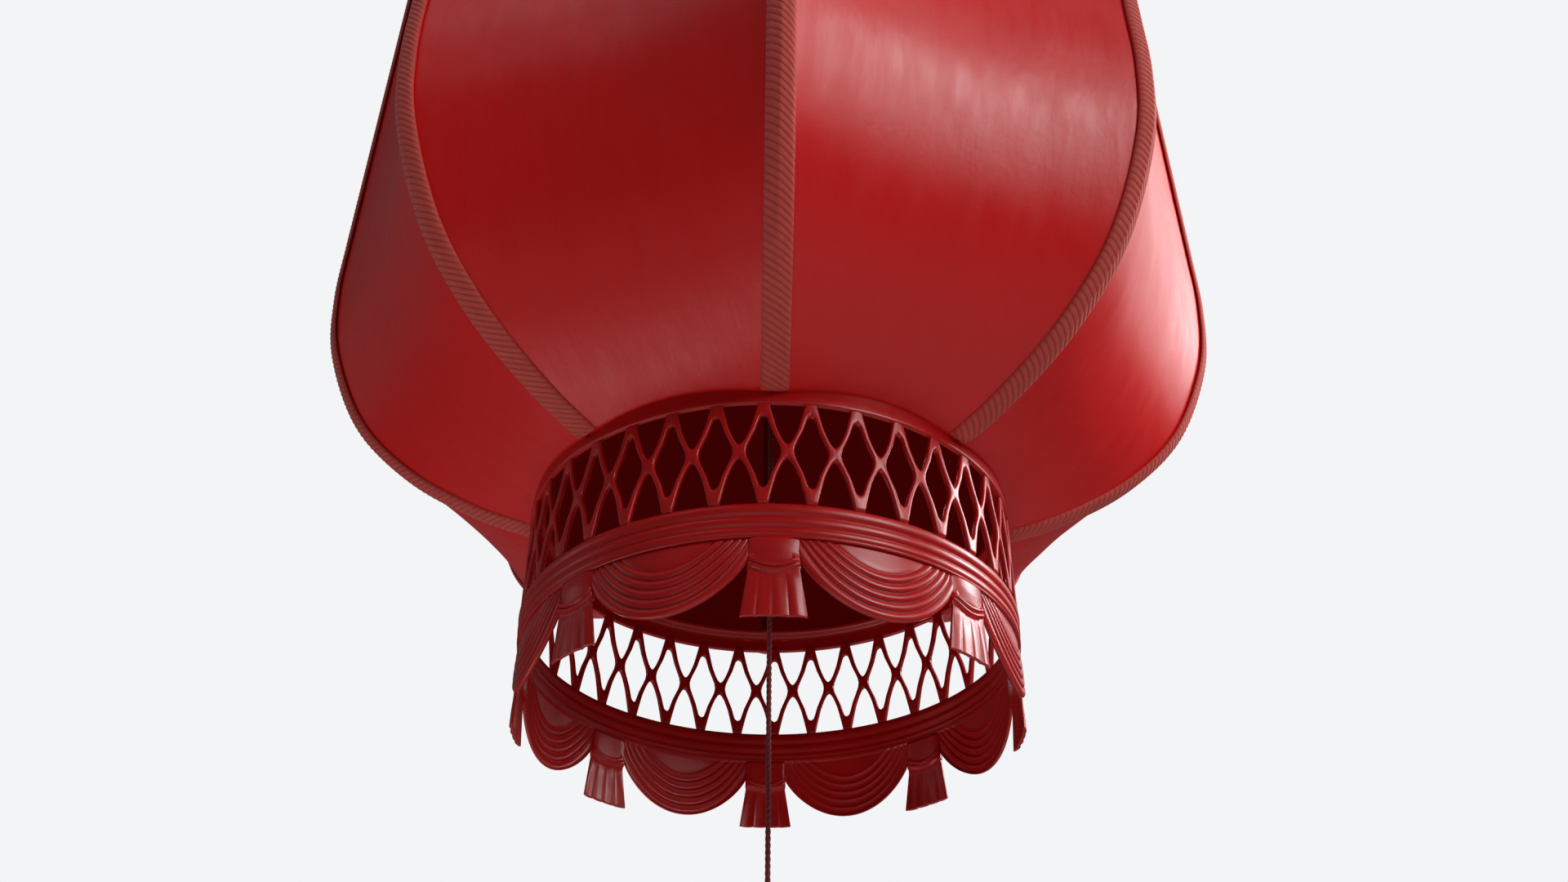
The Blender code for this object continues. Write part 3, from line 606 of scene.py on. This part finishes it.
ROPE_PITCH = 2.9 * MM
ROPE_DROP = 7.8 * MM  # how far a strand falls across the band
ROPE_HALF = 5.3 * MM  # half the band's width
ROPE_PHASES = np.array([0.0, 0.08, 0.18, 0.32, 0.50, 0.68, 0.82, 0.92])  # rows over one strand
ROPE_END = 0.2 * MM  # from the seam's end to the band's
ROPE_LEAD = 4  # strands that start before the band's end, so that it's cut square
ROPE_LIFT = 0.2 * MM
ROPE_ARCH = 0.8 * MM
STRAND_RISE = 0.3 * MM
ROPE_UNDER = 0.6 * MM  # how far the band's underside lies below the seam
END_TUCK = 3 * MM  # the length over which the band's end thins


def trim_points():
    """The rope band over the rib at azimuth 0.

    Rows run along its strands, and columns over its top and back underneath.
    """
    turns = int((LENGTH + ROPE_DROP) / ROPE_PITCH) + 5
    phase = (np.arange(turns)[:, None] + ROPE_PHASES[None]).reshape(-1, 1)
    across = np.linspace(-1, 1, 15)[None] + 0 * phase
    slant = ROPE_DROP * (0.5 * across + 0.15 * (1 - across**2))
    distance = (phase - ROPE_LEAD) * ROPE_PITCH + slant + ROPE_DROP * 0.5
    distance = np.clip(distance, ROPE_END, LENGTH - ROPE_END)
    radius, height, out_r, out_z = seam_at(distance)
    lateral = -across * ROPE_HALF
    fall = np.abs(lateral) * math.tan(STEP / 2)
    arch = np.sqrt(np.clip(1 - across**4, 0, 1))
    strand = np.abs(np.sin(math.pi * np.mod(phase, 1))) ** 0.6
    rise = ROPE_LIFT + ROPE_ARCH * arch + STRAND_RISE * strand * (0.3 + 0.7 * arch)
    # Painted shade, darkest in the hollows between the strands.
    groove = np.interp(np.mod(phase, 1), (0, 0.08, 0.32, 0.68, 0.92, 1), (1, 0.72, 0, 0, 0.72, 1))
    groove = groove + 0 * across
    tuck = np.clip(np.minimum(distance, LENGTH - distance) / END_TUCK, 0.45, 1)
    normal_drop = fall * np.abs(out_r) * 0.9
    reach = rise * tuck - normal_drop
    top = np.stack([lateral, -(radius + out_r * reach), height + out_z * reach + DATUM], -1)
    reach = -ROPE_UNDER - normal_drop
    under = np.stack([lateral, -(radius + out_r * reach), height + out_z * reach + DATUM], -1)
    points = np.concatenate([top, under[:, ::-1]], 1)
    # The underside gets painted shade, 0.4 of the full amount.
    return points, np.concatenate([groove, 0.4 + 0 * groove], 1)


def add_trims(rope):
    """The same band over every rib."""
    points, grooves = trim_points()
    ends = (points[:1].mean(1, keepdims=True), points[-1:].mean(1, keepdims=True))
    width = points.shape[1]
    points = np.concatenate([np.repeat(ends[0], width, 1), points, np.repeat(ends[1], width, 1)])
    grooves = np.concatenate([grooves[:1], grooves, grooves[-1:]])
    mesh = grid("rope_trim", points, wrap_columns=True, weld=1e-7, groove=grooves)
    for k in range(RIBS):
        copy = turn_about_axis(mesh.copy(), k * STEP)
        put(copy, f"rope_trim_{k + 1}", LANTERN, rope, [f"rib_trim_{k + 1}"])
    bpy.data.meshes.remove(mesh)


# ---------------------------------------------------------------- collar


def bead(top, bottom, root, crest):
    """A half-round bead's profile points, down its outer side, in mm."""
    angle = np.linspace(0.08, 0.92, 7) * math.pi
    middle, half = (top + bottom) / 2, (top - bottom) / 2
    return [(root + (crest - root) * math.sin(a), middle + half * math.cos(a)) for a in angle]


# The lower neck ring's section: radius and height above the datum, in mm.
NECK_PROFILE = (
    (99.4, 5.1), (101.1, 5.1), (101.6, 5.4), (101.7, 6.1), (101.4, 8.4), (101.1, 10.4),
    (101.0, 12.6), (101.0, 15.6), (100.0, 16.5), (97.6, 16.5), (96.5, 15.6), (96.1, 14.4),
    (96.5, 13.2), (97.6, 12.6), (98.8, 12.0), (99.3, 10.4), (99.4, 7.4),
)
# The beaded ring's three beads: top, bottom and outer radius, and top and bottom of the hollows behind them.
BEADS = ((-38.4, -43.4, 101.5), (-43.6, -47.8, 101.3), (-48.0, -51.4, 101.1))
BEAD_BACKS = ((-48.0, -51.0), (-43.6, -47.8), (-38.8, -43.4))


def add_rings(lacquer):
    """The two neck rings and the beaded ring under the lattice."""
    neck = rounded(NECK_PROFILE)
    turned("neck_ring_lower", neck, lacquer, "lower_neck_ring", 180)
    upper = neck * (1, -1) + (0, BODY_RISE / MM)
    turned("neck_ring_upper", upper, lacquer, "upper_neck_ring", 180)
    outer = [(98.6, -38.3)]
    for top, bottom, crest in BEADS:
        outer += bead(top, bottom, 100.2, crest)
    outer += [(100.7, -51.6), (100.8, -52.1), (98.6, -52.0), (98.2, -51.2)]
    inner = []
    for top, bottom in BEAD_BACKS:
        inner += [(98.5, bottom + 0.1), (98.0, bottom + 1.0), (98.0, top - 1.0), (98.5, top - 0.1)]
    turned("ring_of_beads", outer + inner, lacquer, "beaded_ring", 180)


LATTICE_POSTS = 36
LATTICE_PHASE = math.radians(-2.31)  # the first post's angle from the first rib
LATTICE_MIDDLE = -15.8  # the level of the crossings, in mm
LATTICE_RADIUS = 0.100
LATTICE_HALF = 1.08  # half a strand's thickness, in mm
LATTICE_CROWN = 0.12
EDGE_RADIUS = 0.55
# The edges of a diamond over a post, and of the window between two posts: heights above the crossings, in mm,
# each with the edge's angle from the post there, in degrees.
DIAMOND = (
    (0, 3.60), (2.4, 3.37), (4.8, 2.83), (7.2, 2.24), (9.6, 1.67), (12.0, 1.27), (14.4, 0.84),
    (15.3, 0.6), (15.8, 0.0),
)
WINDOW = (
    (3.0, 5.0), (3.2, 4.8), (3.6, 4.50), (4.8, 4.07), (6.0, 3.71), (8.4, 3.17), (10.8, 2.68),
    (14.4, 2.16), (18.0, 1.68), (22.0, 1.18), (23.4, 1.05),
)


def lattice_rows():
    """Heights from the crossings' level, in mm, close together where an edge turns sharply."""
    tip = 15.8 - 1.6 * np.linspace(0, 1, 9)[::-1] ** 2
    crossing = 3.0 + 1.4 * np.linspace(0, 1, 8) ** 2
    rows = np.concatenate([np.linspace(0, 2.5, 4), crossing, np.linspace(5.2, 13.4, 12), tip,
                           np.linspace(16.4, 23.0, 8)])
    return np.unique(np.round(rows, 4))


def lattice_half_cell():
    """(angle, height, distance from the nearest free edge) over the upper half of a strand.

    The angle is in degrees, and the others in mm.
    """
    up = lattice_rows()
    steps = np.array([0, 0.02, 0.06, 0.12, 0.20, 0.30, 0.42, 0.5, 0.58, 0.70, 0.80, 0.88, 0.94, 0.98, 1.0])
    diamond = np.interp(up, *zip(*DIAMOND))
    window = np.where(up < 3.0, 5.0, np.interp(up, *zip(*WINDOW)))
    to_mm = math.radians(1) * 100
    angle = diamond[:, None] + (window - diamond)[:, None] * steps[None]
    height = up[:, None] + 0 * angle
    edge_points = []
    for u in np.linspace(0, 15.8, 1600):
        edge_points.append((np.interp(u, *zip(*DIAMOND)) * to_mm, u))
    for u in np.linspace(3.0, 23.0, 1600):
        edge_points.append((np.interp(u, *zip(*WINDOW)) * to_mm, u))
    edges = np.array(edge_points)
    place = np.stack([angle * to_mm, height], -1)
    distance = np.linalg.norm(place[:, :, None] - edges[None, None], axis=-1).min(-1)
    # The mirror images of the edges, across the post and across the crossing's level, are as near as these.
    return angle, height, distance


def add_lattice(lacquer):
    """The net: every half strand, its two faces and its mirror images, joined and welded."""
    angle, height, distance = lattice_half_cell()
    full_height = np.concatenate([-height[::-1], height[1:]])
    full_angle = np.concatenate([angle[::-1], angle[1:]])
    full_distance = np.concatenate([distance[::-1], distance[1:]])
    bulge = np.sqrt(np.clip(1 - (1 - np.clip(full_distance / EDGE_RADIUS, 0, 1)) ** 2, 0, 1))
    crown = LATTICE_CROWN * np.clip((full_distance - 0.3) / 1.4, 0, 1)
    half = (LATTICE_HALF * bulge + crown) * MM
    half[0] = half[-1] = 0
    # Painted highlight, a thin pale line along each strand's rounded edges.
    painted_sheen = np.exp(-((full_distance - 0.2) / 0.15) ** 2) * 0.35
    meshes = []
    for k in range(LATTICE_POSTS):
        for hand in (1, -1):
            azimuth = LATTICE_PHASE + 2 * math.pi * k / LATTICE_POSTS + hand * np.radians(full_angle)
            for side in (1, -1):
                radius = LATTICE_RADIUS + side * half
                z = DATUM + (LATTICE_MIDDLE + full_height) * MM
                points = np.stack([radius * np.sin(azimuth), -radius * np.cos(azimuth), z], -1)
                order = -1 if hand * side < 0 else 1
                meshes.append(grid("lattice_part", points[:, ::order], edge=painted_sheen[:, ::order]))
    mesh = join_meshes("lattice_net", meshes)
    clean(mesh, 2e-6)
    mesh.shade_smooth()
    put(mesh, "lattice_net", LANTERN, lacquer, ["lattice_collar"])


# ---------------------------------------------------------------- valance

RING_FOOT = -51.9  # the beaded ring's underside, in mm
SWAG_HALF = math.radians(17.4)
SWAG_CORNER = -60.0  # the level of a swag's ends, in mm
SWAG_DEPTH = 19.5
SWAG_RADIUS = 99.3
SWAG_BACK = 98.25
FOLDS = 5
FOLD_DEPTH = 0.85
CRESCENT_LIFT = 0.45  # how far the plain crescent over the folds stands out


def swag_outline(t):
    """The hem's level in mm. t runs from -1 to 1 across the swag."""
    return SWAG_CORNER - SWAG_DEPTH * np.clip(1 - t**2, 0, 1) ** 0.8


def swag_points():
    """(azimuth, height, how far it stands out, crease) over one swag, rows from its top to its hem, in mm."""
    rows, columns = 150, 141
    t = np.sin(np.linspace(-0.5, 0.5, columns) * math.pi)[None] + np.zeros((rows, columns))
    share = np.linspace(0, 1, rows)[:, None]
    hem = swag_outline(t)
    height = RING_FOOT + (hem - RING_FOOT) * share
    # The folds lie between the crescent's edge and the hem's own line.
    first = RING_FOOT - 9.5 * (1 - (t / 0.62) ** 2)
    last = RING_FOOT - 27.6 * np.clip(1 - np.abs(t / 1.05) ** 2.2, 0, 1) ** 0.75
    level = (first - height) / (first - last)
    end = (first - hem) / (first - last)
    above = level < 0
    tail = 1 - 1 / FOLDS
    level = np.where(level > tail, tail + (level - tail) / (end - tail) / FOLDS, level)
    phase = np.mod(np.clip(level, 0, 0.99999) * FOLDS, 1.0)
    # Each fold swells towards its lower edge and tucks in over the next, with a thin lip along the tuck.
    roll = np.clip(np.sin(math.pi * phase**1.3), 0, 1) ** 0.6
    lip = np.exp(-(((phase - 0.95) / 0.03) ** 2)) * (level < tail)
    crescent = np.clip((height - first) / 2.6, 0, 1)
    lift = CRESCENT_LIFT * np.sqrt(np.clip(1 - (1 - crescent) ** 2, 0, 1))
    gather = 0.6 + 0.4 * (1 - t**4)
    body = 0.7 * np.sin(math.pi * np.clip(share, 0, 1) * 0.75)
    offset = np.where(above, lift, (FOLD_DEPTH * roll + 0.12 * lip) * gather) + body
    offset = offset * np.clip(share / 0.04, 0, 1)
    inside = (level < tail + 0.5 / FOLDS) | (phase < 0.5)
    tuck = np.exp(-((np.minimum(phase, 1 - phase) / 0.05) ** 2)) * inside
    crease = np.where(above, 0, 0.8 * tuck) * np.clip(share / 0.03, 0, 1)
    return t * SWAG_HALF, height, offset, crease


def add_swags(lacquer):
    """Eight swags, each a closed plate with its folds pressed through to the back."""
    azimuth, height, offset, crease = swag_points()
    radius = (SWAG_RADIUS + offset) * MM
    inner = (SWAG_BACK + 0.85 * offset) * MM
    z = DATUM + height * MM
    outer_points = np.stack([radius * np.sin(azimuth), -radius * np.cos(azimuth), z], -1)
    inner_points = np.stack([inner * np.sin(azimuth), -inner * np.cos(azimuth), z], -1)
    hem = np.clip((np.linspace(0, 1, len(z)) - 0.975) / 0.025, 0, 1)[:, None] + 0 * z
    points = np.concatenate([outer_points, inner_points[::-1]])
    # Painted shade in the front's creases; a painted highlight along the hem of both faces and along the
    # back's creases.
    grooves = np.concatenate([crease, 0.0 * crease[::-1]])
    painted_sheen = np.concatenate([0.25 * hem, (0.25 * hem + 0.15 * crease)[::-1]])
    # Close the ends by drawing each end row's two faces together.
    first = (points[:, :1] + points[::-1][:, :1]) / 2
    last = (points[:, -1:] + points[::-1][:, -1:]) / 2
    points = np.concatenate([first, points, last], 1)
    grooves = np.pad(grooves, ((0, 0), (1, 1)), "edge")
    painted_sheen = np.pad(painted_sheen, ((0, 0), (1, 1)), "edge")
    mesh = grid("swag", points, wrap_rows=True, weld=1e-7, groove=grooves, edge=painted_sheen)
    for k in range(RIBS):
        copy = turn_about_axis(mesh.copy(), (k + 0.5) * STEP)
        put(copy, f"draped_swag_{k + 1}", LANTERN, lacquer, [f"swag_{k + 1}"])
    bpy.data.meshes.remove(mesh)


TASSEL_RADIUS = 100.0
TASSEL_FOOT = -82.5  # the level of its lower edge, in mm
TASSEL_HEAD_FOOT = -64.6
TASSEL_BEADS = ((-60.2, 0.95), (-62.2, 0.95))  # each bead's level and half height
TASSEL_COLUMNS = 71


def tassel_section(height, across):
    """(outer radius, inner radius, half width, painted shade in the pleats' valleys) of a valance tassel, in
    mm.

    across runs from -1 to 1.
    """
    levels = (TASSEL_FOOT, TASSEL_HEAD_FOOT, -64.2, -61.2, -60.6, -52)
    half = np.interp(height, levels, (11.5, 8.9, 9.2, 9.2, 8.9, 8.9))
    round_ = np.clip(1 - np.abs(across) ** 6, 0, 1) ** 0.5
    head = np.interp(height, (TASSEL_HEAD_FOOT, -61, -57, -52), (0, 0.6, 1.0, 0.7))
    belly = 1.25 * np.clip(1 - across**2, 0, 1) * head
    beads = 0.0
    for middle, size in TASSEL_BEADS:
        bend = middle - 3.0 * (1 - across**2)
        beads = beads + 1.05 * np.sqrt(np.clip(1 - ((height - bend) / size) ** 2, 0, 1))
    skirt = np.clip((-66.4 - height) / 1.5, 0, 1)
    deep = skirt * np.interp(height, (TASSEL_FOOT, -76, -70, -66), (1.0, 0.8, 0.35, 0.15))
    flutes = np.abs(np.sin(2 * math.pi * across + 0.15)) ** 0.38
    soft = 0.10 * np.sin(10.5 * across + 1.0) * skirt
    relief = (0.85 * flutes * deep + soft) * round_
    outer = TASSEL_RADIUS + 0.25 * round_ + belly + beads * round_ + relief
    thick = np.interp(height, (TASSEL_FOOT, -66, -64, -52), (1.05, 1.15, 2.2, 2.2))
    slope = np.interp(height, (TASSEL_FOOT, TASSEL_HEAD_FOOT), (-0.6, 0))
    inner = TASSEL_RADIUS - thick * (0.55 + 0.45 * round_) + 0.85 * relief - 0.35 * beads * round_
    # Painted shade, darker in the valleys between the pleats.
    groove = deep * np.clip(0.55 - flutes, 0, 0.55) * 1.3
    return outer + slope, inner + slope, half, groove


def add_valance_tassels(lacquer):
    """Eight closed tassels with a two-bead band and a pleated skirt, one under each rib."""
    heights = np.concatenate([
        np.linspace(-52.0, -60.6, 8), np.linspace(-60.8, -65.2, 30), np.linspace(-65.8, -81.9, 22),
        [-82.2, -82.45],
    ])[:, None]
    across = np.sin(np.linspace(-0.5, 0.5, TASSEL_COLUMNS) * math.pi)[None] + 0 * heights
    height = heights + 0 * across
    outer, inner, half, groove = tassel_section(height, across)
    x = across * half * MM
    z = DATUM + height * MM
    front = np.stack([x, -np.sqrt((outer * MM) ** 2 - x**2), z], -1)
    back = np.stack([x, -np.sqrt((inner * MM) ** 2 - x**2), z], -1)
    points = np.concatenate([front, back[:, ::-1]], 1)
    # Painted shade in the pleats' valleys, half as dark on the back, and a painted highlight along the hem.
    grooves = np.concatenate([groove, 0.5 * groove[:, ::-1]], 1)
    hem = np.clip((-82.0 - height) / 0.4, 0, 1) * 0.3
    painted_sheen = np.concatenate([hem, hem[:, ::-1]], 1)
    # Close the top and the foot by drawing the two faces together there.
    flip = points[:, ::-1]
    top, bottom = ((points[i] + flip[i]) / 2 for i in (0, -1))
    points = np.concatenate([top[None], points, bottom[None]])
    grooves = np.pad(grooves, ((1, 1), (0, 0)), "edge")
    painted_sheen = np.pad(painted_sheen, ((1, 1), (0, 0)), "edge")
    mesh = grid("tassel", points, wrap_columns=True, weld=1e-7, groove=grooves, edge=painted_sheen)
    for k in range(RIBS):
        copy = turn_about_axis(mesh.copy(), k * STEP)
        put(copy, f"pleated_tassel_{k + 1}", LANTERN, lacquer, [f"valance_tassel_{k + 1}"])
    bpy.data.meshes.remove(mesh)


# ---------------------------------------------------------------- cord and its tassel


CORD_CORE = 0.78 * MM  # the radius between the two plies
CORD_PLY = 0.30 * MM  # how far a ply stands out from it
CORD_TWIST = 5.2 * MM  # the length of one turn
CORD_IN_SKIRT = 22 * MM  # the cord's end below the skirt's top
KNOT_STEPS = 420
HEAD_TURNS = 26
HEAD_BANDS = (0.80, 0.865, 0.93)  # how far down the head its three bands lie
SKIRT_HANKS = ((1.0, 84), (0.86, 60), (0.70, 44))  # each ring's scale and its count of threads


def mid(node):
    """The middle of a CAD node's box."""
    low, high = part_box(node)
    return (low + high) / 2


def add_pendant(yarn, silk, steel):
    """The free cord with its ring, knot and tassel."""
    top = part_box("centre_cord")[1].z
    knot_low, knot_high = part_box("cord_knot")
    head_low, head_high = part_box("pendant_tassel_head")
    skirt_low, skirt_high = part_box("pendant_tassel_skirt")
    bottom = skirt_high.z - CORD_IN_SKIRT  # the cord runs down inside the head and into the skirt
    count = 1100
    z = np.linspace(top, bottom, count)
    line = np.stack([0 * z, 0 * z, z], -1)
    turn = np.linspace(0, 2 * math.pi, 20, endpoint=False)[None]
    twist = (z[:, None] - top) / CORD_TWIST * 2 * math.pi
    lobes = np.abs(np.cos(turn + twist))
    radii = CORD_CORE + CORD_PLY * lobes**0.8
    points = capped(tube_points(line, radii, 20))
    # Painted shade between the two plies.
    groove = np.pad(np.clip(0.55 - lobes, 0, 1) * 1.6, ((1, 1), (0, 0)), "edge")
    mesh = grid("cord", points, wrap_columns=True, weld=1e-8, groove=groove)
    cord = put(mesh, "twisted_cord", PENDANT, yarn, ["centre_cord"])
    knot = put(knot_mesh(knot_low.z, knot_high.z), "button_knot", PENDANT, yarn, ["cord_knot"])
    head = bound_head(head_low.z, head_high.z, silk)
    skirt = thread_skirt(skirt_low.z, skirt_high.z, silk)
    ring_height = (mid("cord_end_ring").z - DATUM) / MM
    end_ring = torus("end_ring", ring_height, 4.5, 1.0, "Y", steel, "cord_end_ring", PENDANT)


def knot_mesh(low, high):
    """A button knot: cord wound round and round the axis in an even over-and-under ball."""
    turn = np.linspace(0, 2 * math.pi, KNOT_STEPS, endpoint=False)
    wind, bights = 4, 7
    swell = 4.15 + 1.25 * np.cos(bights * turn)
    x = swell * np.cos(wind * turn)
    y = swell * np.sin(wind * turn)
    z = 4.9 * np.sin(bights * turn) + 0.6 * np.sin(wind * turn)
    line = np.stack([x, y, z], -1) * MM
    line[:, 2] += (low + high) / 2
    tangent = np.roll(line, -1, 0) - np.roll(line, 1, 0)
    tangent /= np.linalg.norm(tangent, axis=1, keepdims=True)
    out = line - (0, 0, (low + high) / 2)
    side = np.cross(tangent, out)
    side /= np.linalg.norm(side, axis=1, keepdims=True)
    up = np.cross(side, tangent)
    round_ = np.linspace(0, 2 * math.pi, 12, endpoint=False)
    lobes = np.abs(np.cos(round_[None] + np.arange(KNOT_STEPS)[:, None] * 0.9))
    radii = (0.00100 + 0.00016 * lobes)[..., None]
    across = side[:, None] * np.cos(round_)[None, :, None] + up[:, None] * np.sin(round_)[None, :, None]
    points = line[:, None] + radii * across
    # Painted shade in the hollows of the cord's twist.
    return grid("knot", points, True, True, weld=1e-8, groove=np.clip(0.5 - lobes, 0, 1))


def bound_head(low, high, silk):
    """A ball of thread bound with three cords."""
    rows = 64
    height = np.linspace(high, low, rows)
    share = (high - height) / (high - low)
    radius = 7.6 * np.sin(math.pi * (0.16 + 0.74 * share)) ** 0.7
    for place in HEAD_BANDS:
        radius = np.maximum(radius, 6.9 + 0.95 * np.sqrt(np.clip(1 - ((share - place) / 0.033) ** 2, 0, 1)))
    turn = np.linspace(0, 2 * math.pi, 160, endpoint=False)
    ribs = 0.16 * np.abs(np.sin(turn * HEAD_TURNS))[None] * np.clip((0.76 - share) / 0.1, 0, 1)[:, None]
    reach = (radius[:, None] - 0.16 + ribs) * MM
    points = np.stack([reach * np.cos(turn), reach * np.sin(turn), height[:, None] + 0 * reach], -1)
    # Painted shade between the wraps of thread.
    groove = np.clip(1 - np.abs(np.sin(turn * HEAD_TURNS)) * 2.2, 0, 1)[None] * np.ones((rows, 1))
    groove = np.pad(groove, ((1, 1), (0, 0)), "edge")
    mesh = grid("head", capped(points), wrap_columns=True, weld=1e-8, groove=groove)
    return put(mesh, "bound_head", PENDANT, silk, ["pendant_tassel_head"])


def thread_skirt(low, high, silk):
    """Hanks of thread that hang from the head, round a full core."""
    meshes = []
    random = np.random.default_rng(11)
    for ring, (scale, count) in enumerate(SKIRT_HANKS):
        for k in range(count):
            azimuth = 2 * math.pi * (k + 0.5 * ring) / count + random.uniform(-0.02, 0.02)
            end = low + random.uniform(0, 0.0022)
            height = np.linspace(high - 0.0002, end, 16)
            share = (high - height) / (high - low)
            reach = np.interp(share, (0, 0.18, 1), (5.9, 7.9, 10.1)) * scale * MM
            sway = azimuth + random.uniform(-0.06, 0.06) * share**1.5 + 0.03 * np.sin(share * 9 + k)
            line = np.stack([reach * np.cos(sway), reach * np.sin(sway), height], -1)
            thick = np.interp(share, (0, 0.1, 0.95, 1), (0.00030, 0.00042, 0.00046, 0.00032))
            points = capped(tube_points(line, thick, 6))
            # Painted shade, darker on each inner ring of threads.
            groove = 0.225 * ring * np.ones(points.shape[:2])
            meshes.append(grid("thread", points, wrap_columns=True, groove=groove))
    mesh = join_meshes("skirt", meshes)
    clean(mesh, 1e-8)
    mesh.shade_smooth()
    return put(mesh, "thread_skirt", PENDANT, silk, ["pendant_tassel_skirt"])


# ---------------------------------------------------------------- top and lamp


def foot_and_top(node):
    """The levels of a CAD node's foot and top above the datum, in mm."""
    return [(corner.z - DATUM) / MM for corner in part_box(node)]


def add_cap(lacquer):
    """A thin domed cap with a rolled rim. Its profile is given down the outside and back up underneath."""
    foot, crown = foot_and_top("top_cap")
    rim = foot + 3.6
    slope = [
        (4.6, crown), (26, crown), (48, crown - 4.2), (70, crown - 10.2), (92, crown - 20.5),
        (108, crown - 32),
    ]
    edge = [
        (113.0, rim + 0.4), (116.2, rim + 0.2), (116.8, rim - 1.8), (115.4, rim - 3.5), (112.6, rim - 3.2),
    ]
    under = [(r - 0.4, z - 1.5) for r, z in reversed(slope[1:])] + [(4.6, crown - 1.4)]
    turned("domed_cap", rounded(slope + edge + under), lacquer, "top_cap", 160)


def add_lamp(brass, bakelite, glass):
    """The stem, the lampholder and the bulb. Their profiles end on the axis."""
    low, high = foot_and_top("lamp_stem")
    stem = [
        (0, high - 15), (4.3, high - 15), (4.4, high), (8.2, high), (8.5, high - 0.4), (8.5, high - 15.5),
        (8.0, high - 16.5), (6.1, high - 20), (6.0, high - 21), (6.0, low + 1), (5.6, low), (0, low),
    ]
    turned("stem_rod", stem, brass, "lamp_stem", 48, closed=False)
    low, high = foot_and_top("lampholder")
    cup = [
        (0, high), (8.0, high), (8.6, high - 0.6), (11, high - 10), (18.6, high - 19.4), (20, high - 24),
        (20, high - 31), (19.4, high - 31.5), (19.4, high - 33), (20, high - 33.5), (20, low + 0.6),
        (19.4, low), (14.6, low), (14.0, low + 0.6), (14.0, high - 24), (0, high - 24),
    ]
    turned("lamp_cup", cup, bakelite, "lampholder", 64, closed=False)
    low, high = foot_and_top("bulb")
    globe_radius = 30
    neck = low + 63
    globe = [(0, high), (6, high), (10, high - 2), (13.2, high - 4), (13.2, neck), (14.4, neck - 3)]
    for angle in np.radians(np.linspace(32, 180, 26)):
        globe.append((globe_radius * math.sin(angle), low + globe_radius + globe_radius * math.cos(angle)))
    globe[-1] = (0, low)
    turned("globe_bulb", globe, glass, "bulb", 72, closed=False)


def add_fittings(lacquer, steel, brass, bakelite, glass):
    """The cap, the rings and the lamp, and finishes for the CAD nodes that stay as they are."""
    add_cap(lacquer)
    for node in ("top_spider", "eye_bolt", "bulb_guard"):
        paint(NODES[node], steel)
    paint(NODES["cap_nut"], brass)
    paint(NODES["cable_gland"], bakelite)
    for k in range(RIBS):
        paint(NODES[f"rib_{k + 1}"], WIRE_LOOK)
    ring_height = (mid("hang_ring").z - DATUM) / MM
    torus("hanging_ring", ring_height, 16.0, 2.2, "X", steel, "hang_ring", HANGER)
    link_height = (mid("pendant_link").z - DATUM) / MM
    torus("link_ring", link_height, 6.0, 1.0, "X", steel, "pendant_link", LINK)
    add_lamp(brass, bakelite, glass)


def paint(obj, look):
    """Gives a CAD node's object another material."""
    if not obj.data.materials:
        obj.data.materials.append(look)
    for slot in obj.material_slots:
        slot.material = look


# ---------------------------------------------------------------- the lantern

add_stage()
LACQUER = lacquer_look()
# Each rope look's second colour is its painted shade.
ROPE = rope_look("rope", (0.76, 0.094, 0.072), (0.48, 0.056, 0.047))
STEEL = metal_look("zinc_steel", (0.52, 0.51, 0.49), (0.24, 0.42))
BRASS = metal_look("turned_brass", (0.55, 0.38, 0.16), (0.22, 0.40))
WIRE_LOOK = rope_look("rib_paint", (0.34, 0.012, 0.012), (0.20, 0.006, 0.006))
YARN = rope_look("cord_yarn", (0.26, 0.036, 0.031), (0.07, 0.008, 0.007))
SILK = silk_look()
add_pendant(YARN, SILK, STEEL)
add_panels(satin_look(), lining_look())
add_trims(ROPE)
add_rings(LACQUER)
add_lattice(LACQUER)
add_swags(LACQUER)
add_valance_tassels(LACQUER)
add_fittings(LACQUER, STEEL, BRASS, bakelite_look(), glass_look())
